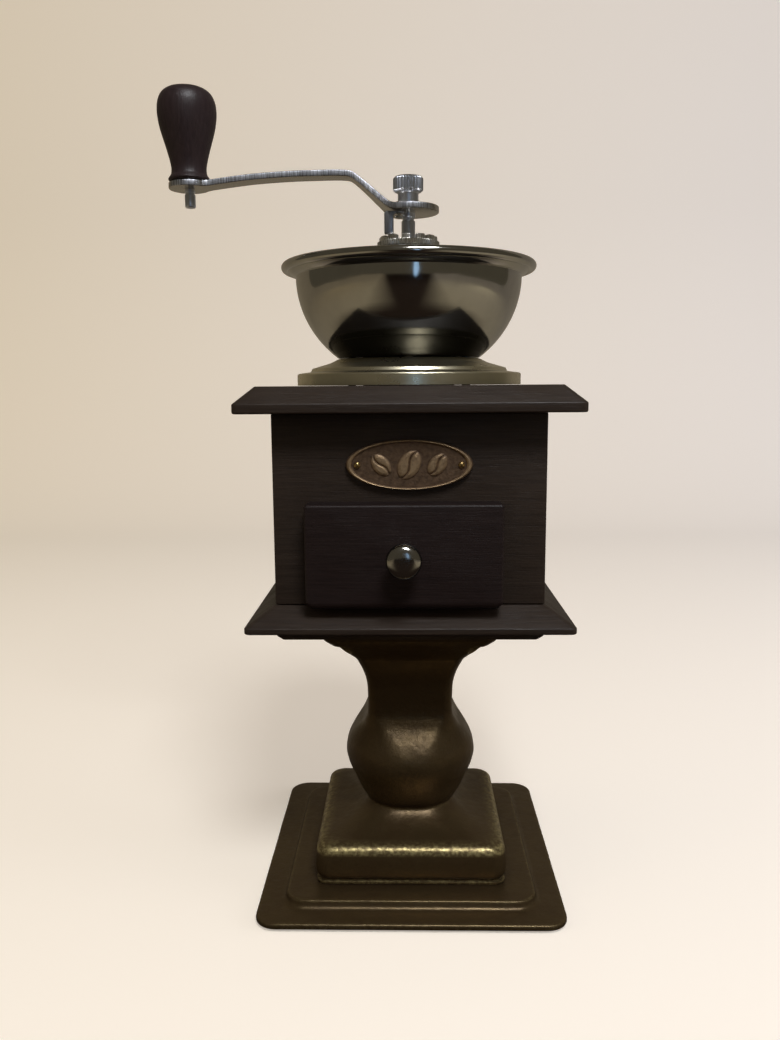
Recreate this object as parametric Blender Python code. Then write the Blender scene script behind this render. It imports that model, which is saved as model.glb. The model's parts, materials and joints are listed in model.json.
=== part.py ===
"""Hand-cranked coffee mill on a cast pedestal.

A wooden drawer box stands on a square metal pedestal. An open metal hopper is screwed on top,
with a conical burr set below it. The crank arm sits on the burr spindle, and the toothed
adjusting gear sets how high the spindle hangs.

Dimensions are in millimetres and are scaled to metres when a mesh is made. +Z is up, the
table is at z = 0, the burr axis is the Z axis, the drawer faces -Y and the crank points to -X.
"""

import math

import bmesh
import bpy

MM = 0.001
GAP = 0.3                     # clearance between separate pieces that touch in the real mill

# Round bodies: how many sides they are drawn with
SIDES_LARGE = 32
SIDES_MEDIUM = 24
SIDES_SMALL = 10

# Felt sheet and base plate
FELT_HALF = 63.5
FELT_CORNER = 7.0
FELT_T = 0.8
PLATE_HALF = 65.6
PLATE_CORNER = 9.0
PLATE_BOTTOM = FELT_T + GAP
PLATE_TOP = 3.6
STEP_HALF = 53.8
STEP_CORNER = 9.0
STEP_TOP = 7.0
RECESS_HALF = 46.0
RECESS_TOP = 4.4

# Bolt that holds the pedestal on its base plate
BASE_BOLT_R = 3.9
BASE_BOLT_TOP = 42.0
BASE_BOLT_HEAD_R = 6.5
BASE_BOLT_HEAD_T = 1.9
WASHER_R = 8.5
WASHER_T = 0.7

# Pedestal: (height, half width, corner radius) of the squared sections, bottom to top
PEDESTAL_SECTIONS = (
    (7.3, 41.6, 5.0), (8.2, 41.6, 5.0), (8.5, 40.8, 5.5), (9.3, 40.8, 6.0), (10.6, 42.0, 6.5),
    (19.8, 42.0, 6.5), (22.4, 41.2, 6.5), (23.9, 39.6, 6.0), (24.5, 37.4, 7.0), (24.9, 34.0, 9.0),
    (25.8, 29.6, 11.0), (27.2, 25.6, 13.0), (29.2, 22.0, 14.0), (31.2, 20.2, 15.0),
    (32.4, 20.2, 15.3), (34.5, 21.6, 16.4), (38.0, 23.1, 17.6), (43.0, 25.1, 19.2),
    (47.0, 27.1, 20.8), (50.5, 28.8, 22.0), (54.0, 29.9, 22.8), (57.0, 29.8, 22.6),
    (60.0, 28.7, 21.6), (64.5, 25.9, 18.2), (67.5, 23.8, 14.5), (70.0, 22.0, 10.5),
    (73.0, 20.4, 6.8), (76.0, 19.4, 4.5), (88.5, 19.4, 4.5), (92.0, 19.8, 4.5), (97.0, 21.2, 4.5),
    (101.0, 22.9, 4.5), (104.0, 24.5, 4.5), (115.4, 36.8, 4.5), (116.2, 37.2, 4.5),
    (121.1, 37.2, 4.5))
PEDESTAL_BORE_R = 4.3
PEDESTAL_BORE_TOP = 45.0
FLANGE_TOP = 121.1
FLANGE_SCREW_XY = 29.5
FLANGE_SCREW_SEAT = 117.6

# Wooden box
PANEL_BOTTOM = 121.4
PANEL_TOP = 126.7
BOX_HALF = 54.1
BOARD_BOTTOM = 127.0
BOARD_LIP_TOP = 129.5
BOARD_TOP = 136.4
BOARD_HALF = 65.4
WALL_T = 8.0
WALL_BOTTOM = 136.7
WALL_TOP = 213.0
DRAWER_OPENING_HALF = 35.8
DRAWER_OPENING_TOP = 174.5
TOP_BOTTOM = 213.3
TOP_EDGE = 217.0
TOP_TOP = 223.7
TOP_HALF = 67.2
TOP_FACE_HALF = 59.5
TOP_HOLE_R = 21.3

# Drawer: it sits a little left of the box's middle
DRAWER_X = -2.2
FRONT_HALF = 38.6
FRONT_BOTTOM = 136.8
FRONT_TOP = 178.4
FRONT_TOP_CORNER = 1.2
FRONT_LOW_CORNER = 3.5
FRONT_BACK_Y = -BOX_HALF - GAP
FRONT_Y = -64.8
FRONT_BEVEL = 1.0
DRAWER_HALF = 34.9
DRAWER_SIDE_T = 5.0
DRAWER_SIDE_TOP = 172.0
DRAWER_END_Y = 37.7
DRAWER_BOTTOM_T = 3.0
KNOB_Z = 158.0
KNOB_R = 6.85

# Badge on the front panel
BADGE_Z = 193.0
BADGE_A = 25.0
BADGE_B = 10.0
BADGE_NAIL_X = 20.4

# Hopper: foot ring, bowl and its rolled rim
FOOT_R = 49.6
SHEET = 1.0
BOWL_CENTRE_Z = 270.6
BOWL_R = 49.4
BOWL_DEPTH = 45.0
BOWL_BOTTOM = 235.8
BOWL_HOLE_R = 20.9

# Burr set, its bridge above and its bracket below
HOPPER_SCREW_RADIUS = 25.5
RING_FLANGE_R = 29.3
RING_TOP = 240.0
RING_R = 20.4
RING_BOTTOM = 206.0
BRIDGE_TOP = 279.9
BRIDGE_FOOT_BOTTOM = RING_TOP + GAP
BRIDGE_FOOT_TOP = 242.5
BRIDGE_WIDTH = 12.0
SPINDLE_R = 3.0
SPINDLE_BORE_R = 3.3
SPINDLE_BOTTOM = 197.5
SPINDLE_TOP = 310.0
BRACKET_BOTTOM = 199.3
BRACKET_SCREW_X = 33.0

# Adjusting gear and the leg that stops it
GEAR_R = 13.6
GEAR_BOTTOM = 283.0
GEAR_TOOTH_ROOT = 285.5
GEAR_TOP = 287.7
GEAR_TEETH = 12
LEG_X = -8.3
LEG_Y = -7.0
LEG_BOTTOM = GEAR_TOP + 0.4
RIVET_SPOT = (-3.9, LEG_Y)

# Crank arm: centre line (distance out from the spindle, height) and plate sizes
ARM_T = 2.6
ARM_DISC_R = 13.4
ARM_DISC_Z = 299.1
ARM_HALF_WIDTH = 5.0
ARM_EYE_R = 9.0
ARM_EYE_Z = 310.1
CRANK_THROW = 95.2
ARM_LINE = (
    (-13.4, 299.1), (0.0, 299.1), (5.5, 299.1), (8.6, 300.2), (11.2, 302.4), (22.2, 312.0),
    (24.8, 313.6), (28.5, 314.1), (40.0, 314.1), (52.0, 313.8), (69.0, 312.7), (84.0, 310.9),
    (89.0, 310.3), (95.2, 310.1), (104.2, 310.1))

# Thumb nut and grip
NUT_COLLAR_R = 4.5
NUT_COLLAR_BOTTOM = 300.8
NUT_HEAD_R = 6.6
NUT_HEAD_BOTTOM = 306.7
NUT_TOP = 313.1
GRIP_PROFILE = (
    (0.0, 312.0), (8.6, 312.0), (9.0, 312.6), (8.7, 313.5), (7.8, 314.8), (7.5, 317.0), (7.9, 320.0),
    (8.9, 324.0), (10.2, 328.5), (11.5, 333.0), (12.3, 337.0), (12.6, 341.0), (12.2, 344.5),
    (10.8, 347.6), (8.2, 349.6), (4.4, 350.4), (0.0, 350.5))


# Finishes: base colour, roughness, metallic; then the finish of each node by its name's start
FINISHES = {
    "dark_wood": ((0.030, 0.020, 0.015), 0.42, 0.0),
    "plain_wood": ((0.45, 0.32, 0.20), 0.60, 0.0),
    "bronze_paint": ((0.120, 0.085, 0.055), 0.42, 0.7),
    "chrome": ((0.62, 0.60, 0.57), 0.10, 1.0),
    "bright_steel": ((0.55, 0.53, 0.50), 0.25, 1.0),
    "dark_steel": ((0.10, 0.09, 0.08), 0.40, 0.9),
    "burr_iron": ((0.16, 0.15, 0.14), 0.50, 0.9),
    "brass": ((0.50, 0.36, 0.16), 0.35, 1.0),
    "aged_copper": ((0.30, 0.15, 0.08), 0.45, 0.8),
    "felt": ((0.05, 0.05, 0.05), 0.95, 0.0),
}
NODE_FINISHES = (
    ("base_felt", "felt"), ("base_plate", "bronze_paint"), ("base_", "dark_steel"),
    ("pedestal_column", "bronze_paint"), ("pedestal_screw", "dark_steel"),
    ("drawer_front", "dark_wood"), ("drawer_knob_screw", "bright_steel"), ("drawer_knob", "chrome"),
    ("drawer_", "plain_wood"), ("oval_badge", "aged_copper"), ("badge_nail", "brass"),
    ("hopper_screw", "bright_steel"), ("hopper_bridge", "bright_steel"), ("hopper_", "chrome"),
    ("ring_burr", "burr_iron"), ("inner_burr", "burr_iron"), ("spindle_bush", "brass"),
    ("thrust_washer", "brass"), ("lower_bracket", "dark_steel"), ("stopper_", "bright_steel"),
    ("spindle", "bright_steel"), ("burr_", "bright_steel"), ("spring_collar", "bright_steel"),
    ("adjusting_gear", "bright_steel"), ("crank_arm", "bright_steel"), ("thumb_nut", "chrome"),
    ("grip_screw", "bright_steel"), ("", "dark_wood"),
)


# ---------------------------------------------------------------- mesh helpers

def make_object(name, verts, faces, origin=(0.0, 0.0, 0.0)):
    """One closed mesh from millimetre points; origin is where the object's own axes sit."""
    ox, oy, oz = origin
    bm = bmesh.new()
    made = [bm.verts.new(((x - ox) * MM, (y - oy) * MM, (z - oz) * MM)) for x, y, z in verts]
    for face in faces:
        bm.faces.new([made[i] for i in face])
    bmesh.ops.recalc_face_normals(bm, faces=bm.faces)
    if bm.calc_volume(signed=True) < 0:
        bmesh.ops.reverse_faces(bm, faces=bm.faces)
    mesh = bpy.data.meshes.new(name)
    bm.to_mesh(mesh)
    bm.free()
    mesh.shade_smooth()
    mesh.set_sharp_from_angle(angle=math.radians(35.0))
    obj = bpy.data.objects.new(name, mesh)
    obj.location = (ox * MM, oy * MM, oz * MM)
    bpy.context.scene.collection.objects.link(obj)
    return obj


def bridge_rings(rings, closed):
    """Quads between neighbouring rings of equal size; caps the two ends unless closed."""
    size = len(rings[0])
    verts = [p for ring in rings for p in ring]
    faces = []
    spans = len(rings) if closed else len(rings) - 1
    for k in range(spans):
        a = k * size
        b = ((k + 1) % len(rings)) * size
        for i in range(size):
            j = (i + 1) % size
            faces.append((a + i, a + j, b + j, b + i))
    if not closed:
        faces.append(tuple(range(size)))
        faces.append(tuple(range((len(rings) - 1) * size, len(rings) * size)))
    return verts, faces


def loft(name, rings, closed=False, origin=(0.0, 0.0, 0.0)):
    verts, faces = bridge_rings(rings, closed)
    return make_object(name, verts, faces, origin)


def revolve(name, profile, sides, centre=(0.0, 0.0), origin=(0.0, 0.0, 0.0)):
    """Turn a closed (radius, height) profile about a vertical axis through centre.

    A profile that starts and ends on the axis gives a solid; any other gives a ring."""
    cx, cy = centre
    solid = profile[0][0] == 0.0 and profile[-1][0] == 0.0
    turned = profile[1:-1] if solid else profile
    rings = []
    for r, z in turned:
        ring = []
        for i in range(sides):
            a = 2.0 * math.pi * i / sides
            ring.append((cx + r * math.cos(a), cy + r * math.sin(a), z))
        rings.append(ring)
    if not solid:
        return loft(name, rings, closed=True, origin=origin)
    verts, faces = bridge_rings(rings, closed=False)
    faces = faces[:-2]
    for end, pole in ((0, profile[0]), (len(rings) - 1, profile[-1])):
        if abs(pole[1] - turned[end][1]) < 1e-9:
            faces.append(tuple(range(end * sides, (end + 1) * sides)))
            continue
        verts.append((cx, cy, pole[1]))
        tip = len(verts) - 1
        for i in range(sides):
            faces.append((end * sides + i, end * sides + (i + 1) % sides, tip))
    return make_object(name, verts, faces, origin)


def cylinder(name, radius, z0, z1, centre=(0.0, 0.0), sides=SIDES_SMALL, origin=(0.0, 0.0, 0.0)):
    profile = ((0.0, z0), (radius, z0), (radius, z1), (0.0, z1))
    return revolve(name, profile, sides, centre, origin)


def box(name, x0, x1, y0, y1, z0, z1, origin=(0.0, 0.0, 0.0)):
    rings = [[(x0, y0, z), (x1, y0, z), (x1, y1, z), (x0, y1, z)] for z in (z0, z1)]
    return loft(name, rings, origin=origin)


def prism_y(name, outline, y0, y1, origin=(0.0, 0.0, 0.0)):
    """An (x, z) outline carried from y0 to y1."""
    rings = [[(x, y, z) for x, z in outline] for y in (y0, y1)]
    return loft(name, rings, origin=origin)


def rounded_square(half_x, half_y, corner, steps=4):
    """Corner points of a rounded rectangle, counter-clockwise, steps points per corner."""
    points = []
    for quarter, (sx, sy) in enumerate(((1, 1), (-1, 1), (-1, -1), (1, -1))):
        for i in range(steps):
            a = math.pi / 2.0 * (quarter + i / (steps - 1.0))
            points.append((sx * (half_x - corner) + corner * math.cos(a),
                           sy * (half_y - corner) + corner * math.sin(a)))
    return points


def square_stack(name, sections, steps=4, closed=False):
    """Loft of rounded squares given as (height, half width, corner radius)."""
    rings = []
    for z, half, corner in sections:
        rings.append([(x, y, z) for x, y in rounded_square(half, half, corner, steps)])
    return loft(name, rings, closed)


def hide_tool(obj):
    obj.display_type = 'WIRE'
    obj.hide_render = True


def merge_tools(name, tools):
    """Gather separate cutting solids into one hidden object."""
    bm = bmesh.new()
    for tool in tools:
        first = len(bm.verts)
        bm.from_mesh(tool.data)
        bm.verts.ensure_lookup_table()
        for vert in bm.verts[first:]:
            vert.co += tool.location
        bpy.data.objects.remove(tool, do_unlink=True)
    mesh = bpy.data.meshes.new(name)
    bm.to_mesh(mesh)
    bm.free()
    obj = bpy.data.objects.new(name, mesh)
    bpy.context.scene.collection.objects.link(obj)
    hide_tool(obj)
    return obj


def cut(target, tools):
    """Take a set of solids that don't touch each other out of the target."""
    cutter = merge_tools(target.name + "_tool", tools)
    modifier = target.modifiers.new("cut", 'BOOLEAN')
    modifier.operation = 'DIFFERENCE'
    modifier.solver = 'EXACT'
    modifier.object = cutter


def drill(target, spots, radius, z0, z1, sides=SIDES_SMALL):
    cut(target, [cylinder("drill", radius, z0, z1, spot, sides) for spot in spots])


def screw(name, spot, head_r, head, shank_r, tip, sides=SIDES_SMALL, origin=(0.0, 0.0, 0.0)):
    """Upright screw: head is its (seat, outer end) heights, tip the far end of the shank."""
    seat, outer = head
    profile = ((0.0, outer), (head_r * 0.8, outer), (head_r, outer * 0.7 + seat * 0.3), (head_r, seat),
               (shank_r, seat), (shank_r, tip * 0.9 + seat * 0.1), (shank_r * 0.5, tip), (0.0, tip))
    return revolve(name, profile, sides, spot, origin)


def four_corners(reach):
    return ((-reach, -reach), (reach, -reach), (reach, reach), (-reach, reach))


# ---------------------------------------------------------------- base and pedestal

def build_base():
    square_stack("base_felt", ((0.0, FELT_HALF, FELT_CORNER), (FELT_T, FELT_HALF, FELT_CORNER)))
    plate = square_stack("base_plate", (
        (RECESS_TOP, RECESS_HALF, 6.0), (PLATE_BOTTOM, RECESS_HALF, 6.0),
        (PLATE_BOTTOM, PLATE_HALF, PLATE_CORNER), (PLATE_TOP, PLATE_HALF, PLATE_CORNER),
        (PLATE_TOP, STEP_HALF, STEP_CORNER), (STEP_TOP, STEP_HALF, STEP_CORNER)))
    drill(plate, [(0.0, 0.0)], BASE_BOLT_R + 0.6, RECESS_TOP - 2.0, STEP_TOP + 2.0, 16)

    washer_top = RECESS_TOP - GAP
    washer_bottom = washer_top - WASHER_T
    revolve("base_washer", (
        (BASE_BOLT_R + 0.4, washer_bottom), (WASHER_R, washer_bottom),
        (WASHER_R, washer_top), (BASE_BOLT_R + 0.4, washer_top)), 16)
    seat = washer_bottom - GAP
    screw("base_bolt", (0.0, 0.0), BASE_BOLT_HEAD_R, (seat, seat - BASE_BOLT_HEAD_T),
          BASE_BOLT_R, BASE_BOLT_TOP, 16)


def build_pedestal():
    """One hollow-footed casting: block, bulb, neck and flange."""
    column = square_stack("pedestal_column", PEDESTAL_SECTIONS, steps=5)
    tools = [cylinder("bore", PEDESTAL_BORE_R, 0.0, PEDESTAL_BORE_TOP, sides=16)]
    for spot in four_corners(FLANGE_SCREW_XY):
        pocket = ((0.0, 100.0), (4.2, 100.0), (4.2, FLANGE_SCREW_SEAT), (2.3, FLANGE_SCREW_SEAT),
                  (2.3, FLANGE_TOP + 2.0), (0.0, FLANGE_TOP + 2.0))
        tools.append(revolve("pocket", pocket, SIDES_SMALL, spot))
    cut(column, tools)
    seat = FLANGE_SCREW_SEAT - GAP
    for number, spot in enumerate(four_corners(FLANGE_SCREW_XY), start=1):
        screw("pedestal_screw_%d" % number, spot, 3.6, (seat, seat - 2.4), 1.9, 134.6)


# ---------------------------------------------------------------- wooden box

def build_box():
    spots = four_corners(FLANGE_SCREW_XY)

    panel = square_stack("bottom_panel", (
        (PANEL_BOTTOM, BOX_HALF - 1.9, 1.5), (PANEL_BOTTOM + 1.9, BOX_HALF, 1.5),
        (PANEL_TOP, BOX_HALF, 1.5)), steps=3)
    drill(panel, spots, 2.3, PANEL_BOTTOM - 2.0, PANEL_TOP + 2.0)

    board = square_stack("bottom_board", (
        (BOARD_BOTTOM, BOARD_HALF - 0.5, 2.0), (BOARD_BOTTOM + 0.5, BOARD_HALF, 2.0),
        (BOARD_LIP_TOP - 0.4, BOARD_HALF, 2.0), (BOARD_LIP_TOP, BOARD_HALF - 0.5, 2.0),
        (BOARD_TOP, BOX_HALF + 0.4, 1.5)), steps=3)
    drill(board, spots, 2.3, BOARD_BOTTOM - 2.0, 135.2)

    opening_left = DRAWER_X - DRAWER_OPENING_HALF
    opening_right = DRAWER_X + DRAWER_OPENING_HALF
    outline = ((-BOX_HALF, WALL_BOTTOM), (opening_left, WALL_BOTTOM),
               (opening_left, DRAWER_OPENING_TOP), (opening_right, DRAWER_OPENING_TOP),
               (opening_right, WALL_BOTTOM), (BOX_HALF, WALL_BOTTOM),
               (BOX_HALF, WALL_TOP), (-BOX_HALF, WALL_TOP))
    front = prism_y("front_panel", outline, -BOX_HALF, -BOX_HALF + WALL_T)
    nail_holes = []
    for side in (-1.0, 1.0):
        nail_holes.append(cylinder_y("nail_hole", 0.9, -BOX_HALF - 2.0, -BOX_HALF + 6.0,
                                     (side * BADGE_NAIL_X, BADGE_Z), 8))
    cut(front, nail_holes)

    inner = BOX_HALF - WALL_T
    box("back_panel", -BOX_HALF, BOX_HALF, inner, BOX_HALF, WALL_BOTTOM, WALL_TOP)
    box("left_panel", -BOX_HALF, -inner, -inner + GAP, inner - GAP, WALL_BOTTOM, WALL_TOP)
    box("right_panel", inner, BOX_HALF, -inner + GAP, inner - GAP, WALL_BOTTOM, WALL_TOP)

    guide_in = DRAWER_HALF + 0.5
    guide_out = inner - GAP
    for label, x0, x1 in (("left", -guide_out, DRAWER_X - guide_in),
                          ("right", DRAWER_X + guide_in, guide_out)):
        box("drawer_guide_" + label, x0, x1, -inner + GAP, inner - GAP, WALL_BOTTOM, 150.0)

    top = square_stack("top_board", (
        (TOP_BOTTOM, TOP_HALF - 0.8, 2.0), (TOP_BOTTOM + 0.8, TOP_HALF, 2.4),
        (TOP_EDGE - 0.5, TOP_HALF, 2.4), (TOP_EDGE, TOP_HALF - 0.6, 2.4),
        (TOP_TOP - 0.4, TOP_FACE_HALF + 0.5, 2.0), (TOP_TOP, TOP_FACE_HALF, 2.0)), steps=3)
    tools = [cylinder("burr_hole", TOP_HOLE_R, TOP_BOTTOM - 2.0, TOP_TOP + 2.0, sides=SIDES_MEDIUM)]
    for spot in hopper_screw_spots():
        tools.append(cylinder("screw_hole", 2.1, 215.6, TOP_TOP + 2.0, spot))
    for side in (-1.0, 1.0):
        tools.append(cylinder("screw_hole", 2.1, TOP_BOTTOM - 2.0, 221.0, (side * BRACKET_SCREW_X, 0.0)))
    cut(top, tools)


def ellipse_ring(a, b, y, sides=32):
    ring = []
    for i in range(sides):
        angle = 2.0 * math.pi * i / sides
        ring.append((a * math.cos(angle), y, BADGE_Z + b * math.sin(angle)))
    return ring


def cylinder_y(name, radius, y0, y1, spot, sides=SIDES_SMALL, origin=(0.0, 0.0, 0.0)):
    return turned_y(name, ((0.0, y0), (radius, y0), (radius, y1), (0.0, y1)), spot, sides, origin)


def turned_y(name, profile, spot, sides=SIDES_SMALL, origin=(0.0, 0.0, 0.0)):
    """Turn a (radius, y) profile that starts and ends on an axis along Y through (x, z) spot."""
    cx, cz = spot
    rings = []
    for r, y in profile[1:-1]:
        ring = []
        for i in range(sides):
            angle = 2.0 * math.pi * i / sides
            ring.append((cx + r * math.cos(angle), y, cz + r * math.sin(angle)))
        rings.append(ring)
    return loft(name, rings, origin=origin)


def build_badge():
    """Oval plate with a raised rim, a sunk field and a plain bean-shaped boss."""
    back = -BOX_HALF - GAP
    badge = loft("oval_badge", [
        ellipse_ring(BADGE_A, BADGE_B, back),
        ellipse_ring(BADGE_A, BADGE_B, back - 1.6),
        ellipse_ring(BADGE_A - 0.8, BADGE_B - 0.8, back - 2.3),
        ellipse_ring(BADGE_A - 1.6, BADGE_B - 1.6, back - 2.3),
        ellipse_ring(BADGE_A - 2.2, BADGE_B - 2.2, back - 1.4),
        ellipse_ring(7.4, 4.6, back - 1.4),
        ellipse_ring(5.2, 3.0, back - 2.3)])
    cut(badge, [cylinder_y("nail_hole", 0.9, back - 4.0, back + 0.8, (side * BADGE_NAIL_X, BADGE_Z), 8)
                for side in (-1.0, 1.0)])
    head = back - 1.4 - GAP
    for side, label in ((-1.0, "left"), (1.0, "right")):
        turned_y("badge_nail_" + label, (
            (0.0, head - 0.9), (0.8, head - 0.9), (1.3, head - 0.4), (1.3, head),
            (0.6, head), (0.6, -BOX_HALF + 5.0), (0.0, -BOX_HALF + 5.0)),
            (side * BADGE_NAIL_X, BADGE_Z), 8)


# ---------------------------------------------------------------- drawer

def front_outline(inset, y):
    """The drawer front's outline at y, drawn in by inset, with larger corners at the bottom."""
    left, right = DRAWER_X - FRONT_HALF + inset, DRAWER_X + FRONT_HALF - inset
    bottom, top = FRONT_BOTTOM + inset, FRONT_TOP - inset
    high, low = FRONT_TOP_CORNER, FRONT_LOW_CORNER
    centres = ((right - high, top - high, high), (left + high, top - high, high),
               (left + low, bottom + low, low), (right - low, bottom + low, low))
    points = []
    for quarter, (x, z, corner) in enumerate(centres):
        for i in range(4):
            a = math.pi / 2.0 * (quarter + i / 3.0)
            points.append((x + corner * math.cos(a), y, z + corner * math.sin(a)))
    return points


def build_drawer():
    centre = (DRAWER_X, -BOX_HALF, KNOB_Z)
    knob_spot = (DRAWER_X, KNOB_Z)
    front = loft("drawer_front", [
        front_outline(0.0, FRONT_BACK_Y), front_outline(0.0, FRONT_Y + FRONT_BEVEL),
        front_outline(FRONT_BEVEL * 0.3, FRONT_Y + FRONT_BEVEL * 0.3),
        front_outline(FRONT_BEVEL, FRONT_Y)], origin=centre)
    cut(front, [cylinder_y("knob_hole", 1.9, FRONT_Y - 2.0, FRONT_BACK_Y + 2.0, knob_spot)])

    left, right = DRAWER_X - DRAWER_HALF, DRAWER_X + DRAWER_HALF
    inner_left, inner_right = left + DRAWER_SIDE_T, right - DRAWER_SIDE_T
    start = -BOX_HALF
    bottom = FRONT_BOTTOM
    box("drawer_side_left", left, inner_left, start, DRAWER_END_Y, bottom, DRAWER_SIDE_TOP, centre)
    box("drawer_side_right", inner_right, right, start, DRAWER_END_Y, bottom, DRAWER_SIDE_TOP, centre)
    box("drawer_back", inner_left + GAP, inner_right - GAP, DRAWER_END_Y - DRAWER_SIDE_T, DRAWER_END_Y,
        bottom, DRAWER_SIDE_TOP, centre)
    box("drawer_bottom", inner_left + GAP, inner_right - GAP, start,
        DRAWER_END_Y - DRAWER_SIDE_T - GAP, bottom, bottom + DRAWER_BOTTOM_T, centre)

    knob_back = FRONT_Y - GAP
    knob = turned_y("drawer_knob", (
        (0.0, knob_back), (3.6, knob_back), (3.4, knob_back - 0.8), (2.7, knob_back - 1.8),
        (2.7, knob_back - 3.2), (4.4, knob_back - 4.4), (6.1, knob_back - 5.6),
        (KNOB_R, knob_back - 7.4), (KNOB_R, knob_back - 8.6), (6.3, knob_back - 9.8),
        (5.6, knob_back - 10.7), (4.4, knob_back - 11.2), (2.2, knob_back - 11.5),
        (0.0, knob_back - 11.5)), knob_spot, 20, centre)
    cut(knob, [cylinder_y("knob_bore", 1.8, knob_back - 7.5, knob_back + 2.0, knob_spot)])
    seat = FRONT_BACK_Y + GAP
    turned_y("drawer_knob_screw", (
        (0.0, seat + 2.2), (2.6, seat + 2.2), (3.4, seat + 1.2), (3.4, seat), (1.5, seat),
        (1.5, knob_back - 7.0), (0.0, knob_back - 7.0)), knob_spot, SIDES_SMALL, centre)


# ---------------------------------------------------------------- hopper

def hopper_screw_spots():
    reach = HOPPER_SCREW_RADIUS
    return ((-reach, 0.0), (0.0, -reach), (reach, 0.0), (0.0, reach))


def bowl_wall(offset, steps):
    """Points up the bowl's rounded wall, a sheet offset in from its outside."""
    radius = BOWL_R - offset
    depth = BOWL_DEPTH - offset
    floor = BOWL_BOTTOM + offset
    start = math.acos((BOWL_CENTRE_Z - floor) / depth)
    points = []
    for i in range(steps):
        a = start + (math.pi / 2.0 - start) * i / (steps - 1.0)
        points.append((radius * math.sin(a), BOWL_CENTRE_Z - depth * math.cos(a)))
    return points


def build_hopper():
    """Pressed foot ring, spun bowl with a flared and rolled rim, and the screws through both."""
    outside = ((FOOT_R, TOP_TOP + GAP), (FOOT_R, 228.6), (49.0, 229.3), (43.8, 229.9), (43.0, 231.0),
               (38.5, 232.4), (34.6, 233.8), (31.2, 235.4), (BOWL_HOLE_R + 0.6, 235.4))
    inside = ((BOWL_HOLE_R + 0.6, 234.4), (30.8, 234.4), (34.0, 232.8), (38.0, 231.3),
              (42.2, 230.1), (43.2, 228.9), (48.6, 228.2), (FOOT_R - SHEET, TOP_TOP + GAP))
    foot = revolve("hopper_foot_ring", outside + inside, SIDES_LARGE)
    spots = hopper_screw_spots()
    drill(foot, spots, 2.2, 233.0, 237.0)

    wall_out = bowl_wall(0.0, 7)
    wall_in = bowl_wall(SHEET, 7)
    rim = [(50.0, 271.0), (51.8, 271.8), (54.2, 272.4), (55.3, 273.4), (55.6, 274.6), (55.0, 276.0),
           (54.0, 276.4), (53.0, 276.0), (52.2, 274.8), (51.0, 273.0), (49.2, 272.0)]
    profile = [(BOWL_HOLE_R, BOWL_BOTTOM)] + wall_out + rim
    profile += list(reversed(wall_in)) + [(BOWL_HOLE_R, BOWL_BOTTOM + SHEET)]
    bowl = revolve("hopper_bowl", profile, SIDES_LARGE)
    drill(bowl, spots, 2.2, BOWL_BOTTOM - 1.0, BOWL_BOTTOM + SHEET + 1.0)

    for number, spot in enumerate(spots, start=1):
        on_bridge = spot[1] == 0.0
        seat = (BRIDGE_FOOT_TOP if on_bridge else RING_TOP) + GAP
        screw("hopper_screw_%d" % number, spot, 3.5, (seat, seat + 2.2), 1.8, 216.2)


# ---------------------------------------------------------------- burrs and bearings

def build_ring_burr():
    flange_bottom = BOWL_BOTTOM + SHEET + GAP
    ring = revolve("ring_burr", (
        (RING_R, RING_BOTTOM), (RING_R, flange_bottom), (RING_FLANGE_R, flange_bottom),
        (RING_FLANGE_R, RING_TOP), (18.0, RING_TOP), (14.6, 228.0), (17.0, 209.0),
        (17.4, RING_BOTTOM)), SIDES_MEDIUM)
    drill(ring, hopper_screw_spots(), 2.2, flange_bottom - 1.0, RING_TOP + 1.0)


def hat_strap(name, leg, leg_t, foot, foot_z, bar_z, half_width):
    """Bent strap: a crossbar between two legs with feet turned out, symmetric about x = 0.

    foot_z and bar_z are (face towards the crossbar's open side, other face) heights."""
    half = [(leg, bar_z[0]), (leg, foot_z[0]), (foot, foot_z[0]), (foot, foot_z[1]),
            (leg + leg_t, foot_z[1]), (leg + leg_t, bar_z[1])]
    mirrored = [(-x, z) for x, z in reversed(half)]
    return prism_y(name, half + mirrored, -half_width, half_width)


def build_bridge():
    """Strap over the hopper's mouth that carries the spindle's upper bush."""
    bridge = hat_strap("hopper_bridge", 19.0, 2.2, 30.0, (BRIDGE_FOOT_BOTTOM, BRIDGE_FOOT_TOP),
                       (BRIDGE_TOP - 2.2, BRIDGE_TOP), BRIDGE_WIDTH / 2.0)
    tools = [cylinder("hub", 5.4, BRIDGE_TOP - 5.0, BRIDGE_TOP + 5.0, sides=SIDES_MEDIUM)]
    for side in (-1.0, 1.0):
        tools.append(cylinder("hole", 2.2, BRIDGE_FOOT_BOTTOM - 1.0, BRIDGE_FOOT_TOP + 1.0,
                              (side * HOPPER_SCREW_RADIUS, 0.0)))
    cut(bridge, tools)
    flange = BRIDGE_TOP + GAP
    revolve("spindle_bush", (
        (SPINDLE_BORE_R, 276.3), (5.1, 276.3), (5.1, flange), (8.0, flange),
        (8.0, flange + 1.2), (SPINDLE_BORE_R, flange + 1.2)), SIDES_MEDIUM)


def build_lower_bracket():
    bracket = hat_strap("lower_bracket", 26.0, 2.0, 38.0, (213.0, 211.0),
                        (BRACKET_BOTTOM + 2.0, BRACKET_BOTTOM), 5.0)
    tools = [cylinder("hub", SPINDLE_BORE_R, BRACKET_BOTTOM - 2.0, BRACKET_BOTTOM + 4.0, sides=16)]
    for side in (-1.0, 1.0):
        tools.append(cylinder("hole", 2.2, 210.0, 214.0, (side * BRACKET_SCREW_X, 0.0)))
    cut(bracket, tools)
    for side, label in ((-1.0, "left"), (1.0, "right")):
        screw("lower_bracket_screw_" + label, (side * BRACKET_SCREW_X, 0.0), 3.5,
              (211.0 - GAP, 208.4), 1.8, 220.4)


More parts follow.
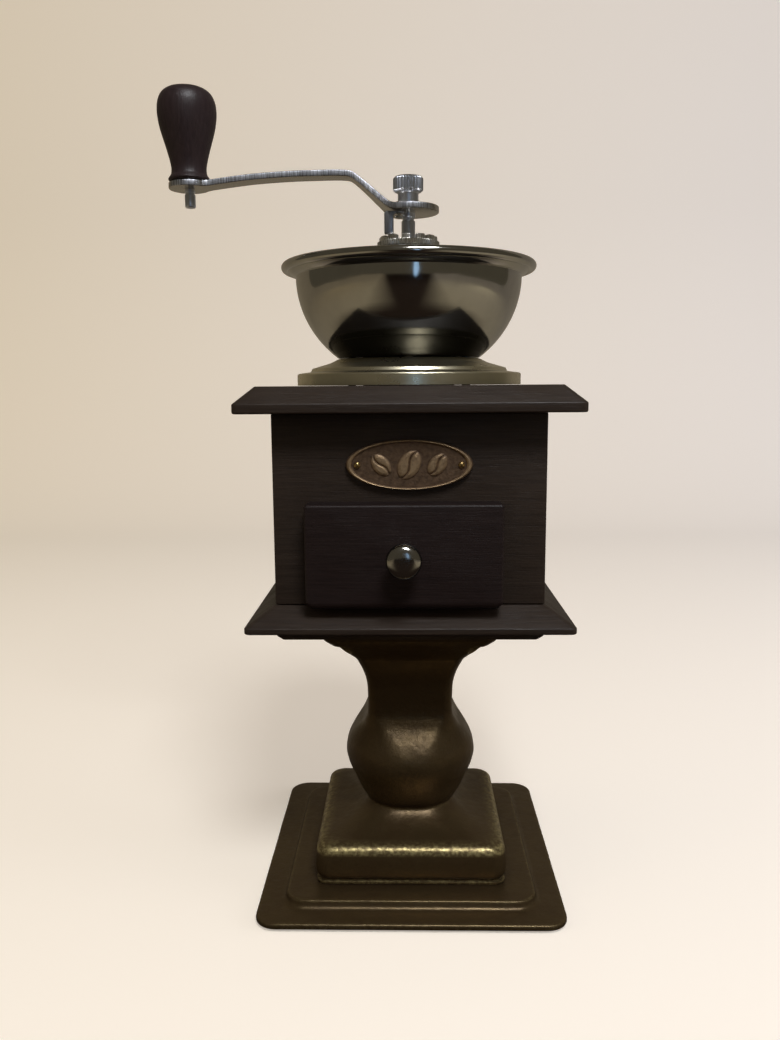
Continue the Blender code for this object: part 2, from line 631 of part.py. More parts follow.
def build_spring():
    """Compression spring round the spindle, between the burr's collar and the upper bush."""
    turns = 6
    steps = 10
    wire = 0.6
    coil = 5.2
    low = 243.9
    high = 275.3
    rings = []
    for k in range(turns * steps + 1):
        a = 2.0 * math.pi * k / steps
        z = low + (high - low) * k / (turns * steps)
        ring = []
        for i in range(4):
            b = 2.0 * math.pi * i / 4
            r = coil + wire * math.cos(b)
            ring.append((r * math.cos(a), r * math.sin(a), z + wire * math.sin(b)))
        rings.append(ring)
    loft("burr_spring", rings)


def build_spindle_parts():
    centre = (0.0, 0.0, ARM_DISC_Z)
    revolve("spindle", (
        (0.0, SPINDLE_BOTTOM), (SPINDLE_R - 0.5, SPINDLE_BOTTOM), (SPINDLE_R, SPINDLE_BOTTOM + 0.5),
        (SPINDLE_R, SPINDLE_TOP - 0.5), (SPINDLE_R - 0.5, SPINDLE_TOP), (0.0, SPINDLE_TOP)),
        SIDES_MEDIUM, origin=centre)
    revolve("inner_burr", (
        (SPINDLE_BORE_R, 206.8), (14.4, 206.8), (16.3, 208.6), (16.3, 209.4), (9.6, 230.0),
        (5.4, 240.6), (SPINDLE_BORE_R, 240.6)), SIDES_MEDIUM, origin=centre)
    nut = cylinder("burr_nut", 5.6, 203.2, 206.5, sides=6, origin=centre)
    drill(nut, [(0.0, 0.0)], SPINDLE_BORE_R, 202.0, 208.0, 16)
    revolve("spring_collar", (
        (SPINDLE_BORE_R, 240.9), (7.2, 240.9), (7.2, 242.6), (SPINDLE_BORE_R, 242.6)),
        16, origin=centre)


# ---------------------------------------------------------------- adjusting gear and stop leg

def build_gear():
    centre = (0.0, 0.0, GEAR_BOTTOM)
    bush_top = BRIDGE_TOP + GAP + 1.2
    revolve("thrust_washer", (
        (SPINDLE_BORE_R, bush_top + GAP), (8.0, bush_top + GAP), (8.0, GEAR_BOTTOM - GAP),
        (SPINDLE_BORE_R, GEAR_BOTTOM - GAP)), SIDES_MEDIUM, origin=centre)

    gear = revolve("adjusting_gear", (
        (SPINDLE_BORE_R, GEAR_BOTTOM), (GEAR_R - 0.6, GEAR_BOTTOM), (GEAR_R, GEAR_BOTTOM + 0.5),
        (GEAR_R, GEAR_TOP - 0.3), (GEAR_R - 0.3, GEAR_TOP), (8.4, GEAR_TOP), (8.0, GEAR_TOOTH_ROOT),
        (SPINDLE_BORE_R, GEAR_TOOTH_ROOT)), 36, origin=centre)
    leg_angle = math.atan2(LEG_Y, LEG_X)
    tools = []
    for k in range(GEAR_TEETH):
        a = leg_angle + 2.0 * math.pi * k / GEAR_TEETH
        tools.append(notch_block(a, 7.4, GEAR_R + 2.0, 1.5, GEAR_TOOTH_ROOT, GEAR_TOP + 2.0))
    cut(gear, tools)


def notch_block(angle, inner, outer, half_width, z0, z1):
    """Upright block reaching out from the axis, used to cut one gear notch."""
    ux, uy = math.cos(angle), math.sin(angle)
    corners = ((inner, -half_width), (outer, -half_width), (outer, half_width), (inner, half_width))
    rings = [[(u * ux - v * uy, u * uy + v * ux, z) for u, v in corners] for z in (z0, z1)]
    return loft("notch", rings)


def build_stopper():
    """L-shaped leg riveted under the crank's disc; its toe stands over a notch of the gear."""
    centre = (0.0, 0.0, ARM_DISC_Z)
    tab_top = ARM_DISC_Z - ARM_T / 2.0 - GAP
    tab_low = tab_top - 1.6
    outline = ((LEG_X - 2.0, LEG_BOTTOM), (LEG_X + 2.0, LEG_BOTTOM), (LEG_X + 2.0, tab_low),
               (LEG_X + 6.5, tab_low), (LEG_X + 6.5, tab_top), (LEG_X - 2.0, tab_top))
    leg = prism_y("stopper_leg", outline, LEG_Y - 1.7, LEG_Y + 1.7, centre)
    drill(leg, [RIVET_SPOT], 1.2, tab_low - 1.0, tab_top + 1.0)
    disc_top = ARM_DISC_Z + ARM_T / 2.0
    revolve("stopper_rivet", (
        (0.0, tab_low - 1.4), (1.0, tab_low - 1.3), (1.7, tab_low - GAP), (0.9, tab_low - GAP),
        (0.9, disc_top + GAP), (1.7, disc_top + GAP), (1.0, disc_top + 1.2), (0.0, disc_top + 1.3)),
        SIDES_SMALL, RIVET_SPOT, centre)


# ---------------------------------------------------------------- crank

def arm_half_width(out):
    """Half width of the crank plate at a distance from the spindle (negative: other side)."""
    if out <= 6.5:
        return math.sqrt(max(ARM_DISC_R ** 2 - out ** 2, 0.64))
    to_eye = abs(out - CRANK_THROW)
    if to_eye < ARM_EYE_R:
        round_end = math.sqrt(max(ARM_EYE_R ** 2 - to_eye ** 2, 0.64))
        if out > CRANK_THROW:
            return round_end
        return max(round_end, ARM_HALF_WIDTH)
    if out < 25.0:
        share = (out - 6.5) / 18.5
        disc_side = math.sqrt(ARM_DISC_R ** 2 - 6.5 ** 2)
        return disc_side + (ARM_HALF_WIDTH - disc_side) * (share * (2.0 - share))
    return ARM_HALF_WIDTH


def arm_height(out):
    for (x0, z0), (x1, z1) in zip(ARM_LINE, ARM_LINE[1:]):
        if out <= x1:
            return z0 + (z1 - z0) * (out - x0) / (x1 - x0)
    return ARM_LINE[-1][1]


def build_crank():
    """Plate with a disc at the spindle and an eye at the grip, cranked upwards between them."""
    stations = [-13.4, -12.6, -10.8, -8.0, -4.0, 0.0, 3.0, 5.5, 8.6, 11.2, 14.0, 18.0, 22.2, 24.8,
                28.5, 40.0, 52.0, 69.0, 84.0, 87.7, 89.6, 92.0, 95.2, 98.6, 101.2, 103.2, 104.2]
    rings = []
    for out in stations:
        slope = math.atan2(arm_height(out + 0.4) - arm_height(out - 0.4), 0.8)
        nx, nz = math.sin(slope) * ARM_T / 2.0, math.cos(slope) * ARM_T / 2.0
        wide = arm_half_width(out)
        z = arm_height(out)
        rings.append([(-out - nx, -wide, z - nz), (-out + nx, -wide, z + nz),
                      (-out + nx, wide, z + nz), (-out - nx, wide, z - nz)])
    arm = loft("crank_arm", rings, origin=(0.0, 0.0, ARM_DISC_Z))
    cut(arm, [cylinder("hub", SPINDLE_BORE_R, ARM_DISC_Z - 4.0, ARM_DISC_Z + 4.0, sides=SIDES_MEDIUM),
              cylinder("rivet", 1.3, ARM_DISC_Z - 4.0, ARM_DISC_Z + 4.0, RIVET_SPOT),
              cylinder("eye", 2.1, ARM_EYE_Z - 4.0, ARM_EYE_Z + 4.0, (-CRANK_THROW, 0.0), 16)])


def build_thumb_nut():
    nut = revolve("thumb_nut", (
        (0.0, NUT_COLLAR_BOTTOM), (NUT_COLLAR_R, NUT_COLLAR_BOTTOM), (NUT_COLLAR_R, NUT_HEAD_BOTTOM - 0.6),
        (NUT_HEAD_R - 0.7, NUT_HEAD_BOTTOM), (NUT_HEAD_R, NUT_HEAD_BOTTOM + 0.6),
        (NUT_HEAD_R, NUT_TOP - 0.7), (NUT_HEAD_R - 0.6, NUT_TOP), (0.0, NUT_TOP)),
        SIDES_MEDIUM, origin=(0.0, 0.0, ARM_DISC_Z))
    drill(nut, [(0.0, 0.0)], SPINDLE_BORE_R, NUT_COLLAR_BOTTOM - 2.0, SPINDLE_TOP + 0.5, SIDES_MEDIUM)


def build_grip():
    """Turned wooden grip on a long screw that spins in the crank's eye."""
    spot = (-CRANK_THROW, 0.0)
    centre = (-CRANK_THROW, 0.0, ARM_EYE_Z)
    grip = revolve("grip", GRIP_PROFILE, SIDES_MEDIUM, spot, centre)
    drill(grip, [spot], 1.9, 310.0, 341.0)
    under_eye = ARM_EYE_Z - ARM_T / 2.0
    revolve("grip_screw", (
        (0.0, 301.1), (1.9, 301.1), (2.3, 301.7), (2.3, under_eye - 0.4), (1.6, under_eye - 0.4),
        (1.6, 340.0), (0.0, 340.0)), 16, spot, centre)


# ---------------------------------------------------------------- materials and the whole mill

def make_finish(name):
    colour, roughness, metallic = FINISHES[name]
    material = bpy.data.materials.new(name)
    material.use_nodes = True
    shader = material.node_tree.nodes["Principled BSDF"]
    shader.inputs["Base Color"].default_value = colour + (1.0,)
    shader.inputs["Roughness"].default_value = roughness
    shader.inputs["Metallic"].default_value = metallic
    return material


def paint_nodes():
    made = {name: make_finish(name) for name in FINISHES}
    for obj in bpy.data.objects:
        if obj.hide_render:
            continue
        finish = next(kind for start, kind in NODE_FINISHES if obj.name.startswith(start))
        obj.data.materials.append(made[finish])


def clear_scene():
    for obj in list(bpy.data.objects):
        bpy.data.objects.remove(obj, do_unlink=True)


def build_mill():
    clear_scene()
    build_base()
    build_pedestal()
    build_box()
    build_badge()
    build_drawer()
    build_hopper()
    build_ring_burr()
    build_bridge()
    build_lower_bracket()
    build_spring()
    build_spindle_parts()
    build_gear()
    build_stopper()
    build_crank()
    build_thumb_nut()
    build_grip()
    paint_nodes()


build_mill()
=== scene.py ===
"""Looks of the hand-cranked coffee mill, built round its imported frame.

Lengths are in millimetres in the frame's own axes (+Z up, the drawer faces -Y, the crank points
to -X) and become metres when a mesh is made. Where a piece sits is read from its CAD node's box.
"""

import json
import math

import bmesh
import bpy
from mathutils import Matrix, Vector, noise


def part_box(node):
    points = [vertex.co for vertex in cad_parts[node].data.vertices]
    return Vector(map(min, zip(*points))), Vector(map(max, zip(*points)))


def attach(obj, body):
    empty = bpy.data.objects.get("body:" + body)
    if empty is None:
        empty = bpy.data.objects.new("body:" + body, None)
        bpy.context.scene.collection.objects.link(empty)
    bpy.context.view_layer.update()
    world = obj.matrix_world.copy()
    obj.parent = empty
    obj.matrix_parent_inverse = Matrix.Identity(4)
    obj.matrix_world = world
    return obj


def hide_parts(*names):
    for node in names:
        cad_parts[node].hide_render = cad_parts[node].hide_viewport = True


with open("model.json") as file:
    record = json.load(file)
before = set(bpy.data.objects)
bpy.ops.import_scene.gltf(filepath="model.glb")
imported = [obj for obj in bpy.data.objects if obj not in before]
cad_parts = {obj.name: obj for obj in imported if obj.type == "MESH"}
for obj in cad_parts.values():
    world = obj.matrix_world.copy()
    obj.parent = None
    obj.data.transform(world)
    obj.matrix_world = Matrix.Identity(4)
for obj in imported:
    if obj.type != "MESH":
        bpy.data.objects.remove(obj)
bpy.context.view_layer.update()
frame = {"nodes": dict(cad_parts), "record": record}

MM = 0.001
TAU = 2.0 * math.pi
BODY_OF = {node: body for body, nodes in frame["record"]["behaviour"]["bodies"].items() for node in nodes}

# How finely round pieces are drawn
SIDES_BOWL = 192
SIDES_ROUND = 96
SIDES_SCREW = 40

# Base plate and pedestal casting
PLATE_CORNER = 9.0
PLATE_EDGE_Z = 3.6
STEP_INSET = 11.8
RECESS_HALF = 46.0
RECESS_Z = 4.4
BORE_R = 4.3
FLANGE_POCKET_R = 4.2
CAST_RIPPLE = 0.13

# Pedestal casting from the foot up: height, half width, corner radius
PEDESTAL_SECTIONS = (
    (7.3, 41.6, 5.0), (8.2, 41.6, 5.0), (8.5, 40.8, 5.5), (9.3, 40.8, 6.0), (10.6, 42.0, 6.5),
    (19.8, 42.0, 6.5), (22.4, 41.2, 6.5), (23.9, 39.6, 6.0), (24.5, 37.4, 7.0), (24.9, 34.0, 9.0),
    (25.8, 29.6, 11.0), (27.2, 25.6, 13.0), (29.2, 22.0, 14.0), (31.2, 20.2, 15.0),
    (32.4, 20.4, 16.5), (34.5, 22.1, 19.0), (38.0, 24.1, 21.3), (43.0, 26.3, 23.8),
    (47.0, 28.2, 25.8), (50.5, 29.5, 27.2), (54.0, 30.1, 27.6), (57.0, 29.9, 27.0),
    (60.0, 28.9, 25.0), (64.5, 26.3, 20.5), (67.5, 24.1, 16.0), (70.0, 22.2, 11.5),
    (73.0, 20.6, 7.2), (76.0, 19.4, 4.5), (88.5, 19.4, 4.5), (92.0, 19.8, 4.5), (97.0, 21.2, 4.5),
    (101.0, 22.9, 4.5), (104.0, 24.5, 4.5), (115.4, 36.8, 4.5), (116.2, 37.2, 4.5),
    (121.1, 37.2, 4.5))
BORE_TOP = 45.0
# Height of the block's top edge, along which a gold highlight is painted
BLOCK_RIDGE_HIGHLIGHT_Z = 22.4

# Wooden boards
SOFT_EDGE = 0.5
TOP_BEVEL_IN = 7.7
TOP_LIP = 3.7
BOTTOM_LIP = 2.5
BOTTOM_BEVEL_IN = 11.3

# Drawer
OPENING_HALF = 35.8
OPENING_TOP = 174.5
FRONT_HIGH_CORNER = 1.2
FRONT_LOW_CORNER = 3.5
LOW_ROUND = 3.2

# Hopper sheet metal
SHEET = 1.0
RIM_BEAD_R = 2.0
BOWL_DEPTH = 45.0
BOWL_MOUTH_UP = 34.8
BOWL_HOLE_R = 20.9
RIM_WIDTH = 6.2

# Crank plate
ARM_T = 2.6
ARM_EDGE = 0.45
DISC_R = 13.4
DISC_SHARE = 6.5
STRAP_HALF = 5.0
STRAP_START = 25.0
EYE_R = 9.0
ARM_RISE = (
    (-13.4, 0.0), (0.0, 0.0), (5.5, 0.0), (8.6, 1.1), (11.2, 3.3), (22.2, 12.9), (24.8, 14.5),
    (28.5, 15.0), (40.0, 15.0), (52.0, 14.7), (69.0, 13.6), (84.0, 11.8), (89.0, 11.2),
    (95.2, 11.0), (104.2, 11.0))

# Toothed parts
NUT_FLUTES = 30
GEAR_NOTCHES = 12
GEAR_KNURLS = 78
RING_TEETH = 26
CONE_FLUTES = 6
CONE_TEETH = 26

# Camera, where the real one stood: place in millimetres, turn in degrees
CAMERA_PLACE = (-0.3, -393.7, 223.05)
CAMERA_PITCH = 8.71
CAMERA_YAW = -1.25
CAMERA_ROLL = 0.4
CAMERA_LENS = 30.0

# How much the pale backdrop is lit by itself, how much it glows in reflections as a painted reflection of a lit room,
# and how bright the room is
STAGE_GLOW = 0.50
STAGE_MIRROR_GLOW = 0.13
ROOM_LIGHT = 0.45


# ---------------------------------------------------------------- lines and rings

def span(node):
    """Lowest and highest corner of a CAD node, in millimetres."""
    low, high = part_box(node)
    return low / MM, high / MM


def soft_line(points, steps=4, closed=False):
    """A line with rounded corners. Each point's last number is the radius of its corner."""
    spots = [Vector(point[:-1]) for point in points]
    line = []
    for i, here in enumerate(spots):
        radius = points[i][-1]
        at_end = not closed and i in (0, len(spots) - 1)
        if radius == 0.0 or at_end:
            line.append(here)
            continue
        back = spots[i - 1] - here
        ahead = spots[(i + 1) % len(spots)] - here
        half = back.angle(ahead) / 2.0
        turn_angle = math.pi - 2.0 * half
        if turn_angle < 0.01:
            line.append(here)
            continue
        reach = min(radius / math.tan(half), 0.49 * back.length, 0.49 * ahead.length)
        inward = (back.normalized() + ahead.normalized()).normalized()
        middle = here + inward * (reach / math.cos(half))
        first = here + back.normalized() * reach - middle
        last = here + ahead.normalized() * reach - middle
        for k in range(steps + 1):
            share = k / steps
            from_first = math.sin((1.0 - share) * turn_angle) / math.sin(turn_angle)
            from_last = math.sin(share * turn_angle) / math.sin(turn_angle)
            line.append(middle + first * from_first + last * from_last)
    return line


def smooth_line(points, steps):
    """A centripetal Catmull-Rom curve through the points, with steps spans between neighbours."""
    line = [Vector(point) for point in points]
    line = [2.0 * line[0] - line[1]] + line + [2.0 * line[-1] - line[-2]]
    curve = []
    for p0, p1, p2, p3 in zip(line, line[1:], line[2:], line[3:]):
        t1 = math.sqrt((p1 - p0).length)
        t2 = t1 + math.sqrt((p2 - p1).length)
        t3 = t2 + math.sqrt((p3 - p2).length)
        for k in range(steps):
            t = t1 + (t2 - t1) * k / steps
            a1 = p0 + (p1 - p0) * (t / t1)
            a2 = p1 + (p2 - p1) * ((t - t1) / (t2 - t1))
            a3 = p2 + (p3 - p2) * ((t - t2) / (t3 - t2))
            b1 = a1 + (a2 - a1) * (t / t2)
            b2 = a2 + (a3 - a2) * ((t - t1) / (t3 - t1))
            curve.append(b1 + (b2 - b1) * ((t - t1) / (t2 - t1)))
    curve.append(line[-2])
    return curve


def along(curve, position):
    """Second coordinate of a curve where its first coordinate is position."""
    for a, b in zip(curve, curve[1:]):
        if position <= b[0]:
            return a[1] + (b[1] - a[1]) * (position - a[0]) / max(b[0] - a[0], 1e-9)
    return curve[-1][1]


def square_outline(half_x, half_y, corner, arc=6, side=1):
    """Rounded rectangle, counter-clockwise: arc steps on each corner and side steps on each edge."""
    corners = []
    for quarter, (sx, sy) in enumerate(((1, 1), (-1, 1), (-1, -1), (1, -1))):
        points = []
        for k in range(arc + 1):
            angle = math.pi / 2.0 * (quarter + k / arc)
            points.append(Vector((sx * (half_x - corner) + corner * math.cos(angle),
                                  sy * (half_y - corner) + corner * math.sin(angle))))
        corners.append(points)
    outline = []
    for here, after in zip(corners, corners[1:] + corners[:1]):
        outline += here
        outline += [here[-1].lerp(after[0], k / side) for k in range(1, side)]
    return outline


def square_ring(z, half, corner, arc=6, side=1):
    return [(x, y, z) for x, y in square_outline(half, half, corner, arc, side)]


def round_ring(z, radius, arc=6, side=1):
    """A circle whose points face those of a square_ring with the same steps."""
    ring = []
    for point in square_outline(1.0, 1.0, 0.15, arc, side):
        x, y = point.normalized() * radius
        ring.append((x, y, z))
    return ring


# ---------------------------------------------------------------- solids as (points, faces)

def loft(rings, closed=False):
    """Faces between neighbouring rings of equal size; caps the two ends unless closed."""
    size = len(rings[0])
    verts = [tuple(point) for ring in rings for point in ring]
    faces = []
    for k in range(len(rings) if closed else len(rings) - 1):
        a = k * size
        b = (k + 1) % len(rings) * size
        for i in range(size):
            j = (i + 1) % size
            faces.append((a + i, a + j, b + j, b + i))
    if not closed:
        faces.append(tuple(range(size)))
        faces.append(tuple(range(len(verts) - size, len(verts))))
    return verts, faces


def turn(profile, sides, centre=(0.0, 0.0), axis="Z", closed=False, radius_at=None):
    """Turn a (radius, distance along the axis) profile. centre is the axis's place across it.

    radius_at(radius, along, angle) can change the radius round the piece, for teeth and flutes."""
    cx, cy = centre
    rings = []
    for radius, distance in profile:
        ring = []
        for i in range(sides):
            angle = TAU * i / sides
            r = radius_at(radius, distance, angle) if radius_at else radius
            u, v = cx + r * math.cos(angle), cy + r * math.sin(angle)
            ring.append((u, v, distance) if axis == "Z" else (u, distance, v))
        rings.append(ring)
    return loft(rings, closed)


def prism(outline, axis, low, high):
    """A flat outline carried from low to high along an axis."""
    if axis == "Y":
        return loft([[(u, y, v) for u, v in outline] for y in (low, high)])
    if axis == "X":
        return loft([[(x, u, v) for u, v in outline] for x in (low, high)])
    return loft([[(u, v, z) for u, v in outline] for z in (low, high)])


def block(low, high):
    outline = ((low[0], low[1]), (high[0], low[1]), (high[0], high[1]), (low[0], high[1]))
    return prism(outline, "Z", low[2], high[2])


def joined(*solids):
    verts = []
    faces = []
    for more_verts, more_faces in solids:
        first = len(verts)
        verts += more_verts
        faces += [tuple(first + i for i in face) for face in more_faces]
    return verts, faces


def cad_solid(node):
    """The CAD node's own mesh as points and faces."""
    mesh = frame["nodes"][node].data
    return [tuple(v.co / MM) for v in mesh.vertices], [tuple(p.vertices) for p in mesh.polygons]


# ---------------------------------------------------------------- pieces

def fill_mesh(mesh, solid, bevel, segments):
    """Write a solid into a mesh: welded, facing out, sharp edges bevelled, smooth elsewhere."""
    verts, faces = solid
    bm = bmesh.new()
    made = [bm.verts.new((x * MM, y * MM, z * MM)) for x, y, z in verts]
    for face in faces:
        bm.faces.new([made[i] for i in face])
    bmesh.ops.remove_doubles(bm, verts=bm.verts, dist=0.002 * MM)
    if bevel:
        bmesh.ops.dissolve_limit(bm, angle_limit=math.radians(1.0), verts=bm.verts, edges=bm.edges)
    bmesh.ops.recalc_face_normals(bm, faces=bm.faces)
    if bm.calc_volume(signed=True) < 0.0:
        bmesh.ops.reverse_faces(bm, faces=bm.faces)
    if bevel:
        sharp = [e for e in bm.edges if e.calc_face_angle(0.0) > math.radians(32.0)]
        bmesh.ops.bevel(bm, geom=sharp, offset=bevel * MM, segments=segments, profile=0.5,
                        affect='EDGES', clamp_overlap=True)
    bm.to_mesh(mesh)
    bm.free()
    mesh.shade_smooth()
    mesh.set_sharp_from_angle(angle=math.radians(32.0))


def carve(obj, tools):
    """Take closed solids out of a piece."""
    mesh = bpy.data.meshes.new("carving_tool")
    fill_mesh(mesh, joined(*tools), 0.0, 1)
    tool = bpy.data.objects.new("carving_tool", mesh)
    bpy.context.scene.collection.objects.link(tool)
    cut = obj.modifiers.new("carve", 'BOOLEAN')
    cut.operation = 'DIFFERENCE'
    cut.solver = 'EXACT'
    cut.object = tool
    graph = bpy.context.evaluated_depsgraph_get()
    carved = bpy.data.meshes.new_from_object(obj.evaluated_get(graph), depsgraph=graph)
    carved.set_sharp_from_angle(angle=math.radians(32.0))
    obj.modifiers.clear()
    obj.data = carved
    bpy.data.objects.remove(tool, do_unlink=True)


def piece(node, solid, finish, bevel=0.0, segments=3, tools=()):
    """A fine piece that stands for a CAD node and rides on that node's body."""
    mesh = bpy.data.meshes.new(node + "_fine")
    fill_mesh(mesh, solid, bevel, segments)
    obj = bpy.data.objects.new(node + "_fine", mesh)
    bpy.context.scene.collection.objects.link(obj)
    mesh.materials.append(finish)
    if tools:
        carve(obj, tools)
    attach(obj, BODY_OF[node])
    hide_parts(node)
    return obj


def ripple(solid, amount, size):
    """Move every point a little, as on a hand-finished casting."""
    verts, faces = solid
    moved = []
    for vert in verts:
        shift = noise.noise_vector(Vector(vert) / size) * amount
        moved.append((vert[0] + shift.x, vert[1] + shift.y, vert[2] + shift.z * 0.5))
    return moved, faces


# ---------------------------------------------------------------- materials

class Finish:
    """One material's node tree. Sizes given to its helpers are in millimetres."""

    def __init__(self, name):
        self.material = bpy.data.materials.new(name)
        self.material.use_nodes = True
        self.tree = self.material.node_tree
        self.shader = self.tree.nodes["Principled BSDF"]
        place = self.node("ShaderNodeTexCoord").outputs["Object"]
        self.place = self.vector('SCALE', place, scale=1.0 / MM)

    def node(self, kind, inputs=None, **settings):
        made = self.tree.nodes.new(kind)
        for key, value in settings.items():
            setattr(made, key, value)
        for key, value in (inputs or {}).items():
            self.feed(made.inputs[key], value)
        return made

    def feed(self, socket, value):
        if isinstance(value, bpy.types.NodeSocket):
            self.tree.links.new(value, socket)
        elif isinstance(value, tuple) and len(value) == 3 and socket.type == 'RGBA':
            socket.default_value = value + (1.0,)
        else:
            socket.default_value = value

    def vector(self, operation, a, b=None, scale=None):
        inputs = {0: a}
        if b is not None:
            inputs[1] = b
        if scale is not None:
            inputs["Scale"] = scale
        return self.node("ShaderNodeVectorMath", inputs, operation=operation).outputs[0]

    def value(self, operation, a, b=0.0):
        return self.node("ShaderNodeMath", {0: a, 1: b}, operation=operation, use_clamp=False).outputs[0]

    def noise(self, size, detail=3.0, stretch=(1.0, 1.0, 1.0), roughness=0.55, offset=0.0):
        """Noise from 0 to 1 whose blobs are about size across, longer where stretch is small."""
        place = self.vector('MULTIPLY', self.place, stretch)
        place = self.vector('ADD', place, (offset, offset * 1.7, offset * 2.3))
        inputs = {"Vector": place, "Scale": 1.0 / size, "Detail": detail, "Roughness": roughness}
        return self.node("ShaderNodeTexNoise", inputs).outputs["Fac"]

    def between(self, value, low, high, start=0.0, end=1.0):
        """Map value from low..high to start..end, held at both ends."""
        inputs = {"Value": value, "From Min": low, "From Max": high, "To Min": start, "To Max": end}
        return self.node("ShaderNodeMapRange", inputs).outputs["Result"]

    def mix(self, share, a, b):
        made = self.node("ShaderNodeMix", data_type='RGBA')
        self.feed(made.inputs["Factor"], share)
        self.feed(made.inputs["A"] if a is None else made.inputs[6], a)
        self.feed(made.inputs[7], b)
        return made.outputs[2]

    def edges(self, radius):
        """1 near a sharp or rounded edge, 0 on flat ground."""
        bent = self.node("ShaderNodeBevel", {"Radius": radius * MM}, samples=6).outputs["Normal"]
        flat = self.node("ShaderNodeNewGeometry").outputs["Normal"]
        alike = self.node("ShaderNodeVectorMath", {0: bent, 1: flat}, operation='DOT_PRODUCT').outputs["Value"]
        return self.between(alike, 0.995, 0.90)

    def part(self, axis):
        """One coordinate of the place, in millimetres."""
        return self.node("ShaderNodeSeparateXYZ", {0: self.place}).outputs[axis]

    def around(self):
        """Distance from the mill's own axis, in millimetres."""
        flat = self.vector('MULTIPLY', self.place, (1.0, 1.0, 0.0))
        return self.node("ShaderNodeVectorMath", {0: flat}, operation='LENGTH').outputs["Value"]

    def bump(self, height, depth, strength=1.0):
        """Add height (0 to 1) times depth to the surface's shading."""
        inputs = {"Height": height, "Distance": depth * MM, "Strength": strength}
        linked = self.shader.inputs["Normal"].links
        if linked:
            inputs["Normal"] = linked[0].from_socket
        self.feed(self.shader.inputs["Normal"], self.node("ShaderNodeBump", inputs).outputs["Normal"])

    def set(self, **values):
        names = {"colour": "Base Color", "roughness": "Roughness", "metallic": "Metallic",
                 "coat": "Coat Weight", "coat_roughness": "Coat Roughness", "sheen": "Sheen Weight",
                 "specular": "Specular IOR Level", "anisotropic": "Anisotropic"}
        for key, value in values.items():
            self.feed(self.shader.inputs[names[key]], value)
        return self


# How dark the wood is drawn in other pieces' reflections: painted shade in those reflections
WOOD_MIRROR_PAINTED_SHADE = 0.35
GRAIN = {"X": (0.045, 1.0, 1.0), "Y": (1.0, 0.045, 1.0), "Z": (1.0, 1.0, 0.045)}


def stained_wood(name, grain, dark, light, worn, roughness, shine=0.5):
    """Dark stained wood: faint grain, small pores, rubbed edges and a few nicks; in reflections it is painted darker
    than it is.
    """
    finish = Finish(name)
    streaks = finish.noise(0.9, 4.0, GRAIN[grain])
    clouds = finish.noise(24.0, 2.0)
    colour = finish.mix(finish.between(streaks, 0.3, 0.7), dark, light)
    colour = finish.mix(finish.between(clouds, 0.35, 0.75, 0.0, 0.35), colour, dark)
    chips = finish.between(finish.noise(3.2, 3.0, offset=11.0), 0.60, 0.70)
    rubbed = finish.value('MULTIPLY', finish.edges(0.9), chips)
    colour = finish.mix(finish.value('MULTIPLY', rubbed, 0.75), colour, worn)
    # Painted shade in reflections: other pieces mirror the wood much darker than it is.
    in_mirror = finish.node("ShaderNodeLightPath").outputs["Is Glossy Ray"]
    colour = finish.mix(in_mirror, colour, tuple(c * WOOD_MIRROR_PAINTED_SHADE for c in dark))
    pores = finish.noise(0.35, 2.0, GRAIN[grain], offset=5.0)
    smears = finish.noise(14.0, 3.0, offset=3.0)
    finish.set(colour=colour, specular=shine,
               roughness=finish.between(smears, 0.3, 0.7, roughness - 0.05, roughness + 0.07))
    finish.bump(finish.between(pores, 0.25, 0.5), 0.035)
    finish.bump(streaks, 0.05)
    finish.bump(finish.noise(6.0, 2.0, offset=7.0), 0.12)
    return finish.material


def plain_wood():
    """Pale, unfinished wood of the drawer box."""
    finish = Finish("plain_wood")
    rings = finish.noise(2.2, 5.0, GRAIN["Y"])
    colour = finish.mix(finish.between(rings, 0.3, 0.7), (0.36, 0.24, 0.13), (0.56, 0.41, 0.25))
    fibres = finish.noise(0.3, 2.0, GRAIN["Y"], offset=4.0)
    colour = finish.mix(finish.between(fibres, 0.55, 0.8, 0.0, 0.4), colour, (0.27, 0.17, 0.09))
    finish.set(colour=colour, roughness=finish.between(fibres, 0.3, 0.7, 0.55, 0.72))
    finish.bump(fibres, 0.06)
    return finish.material


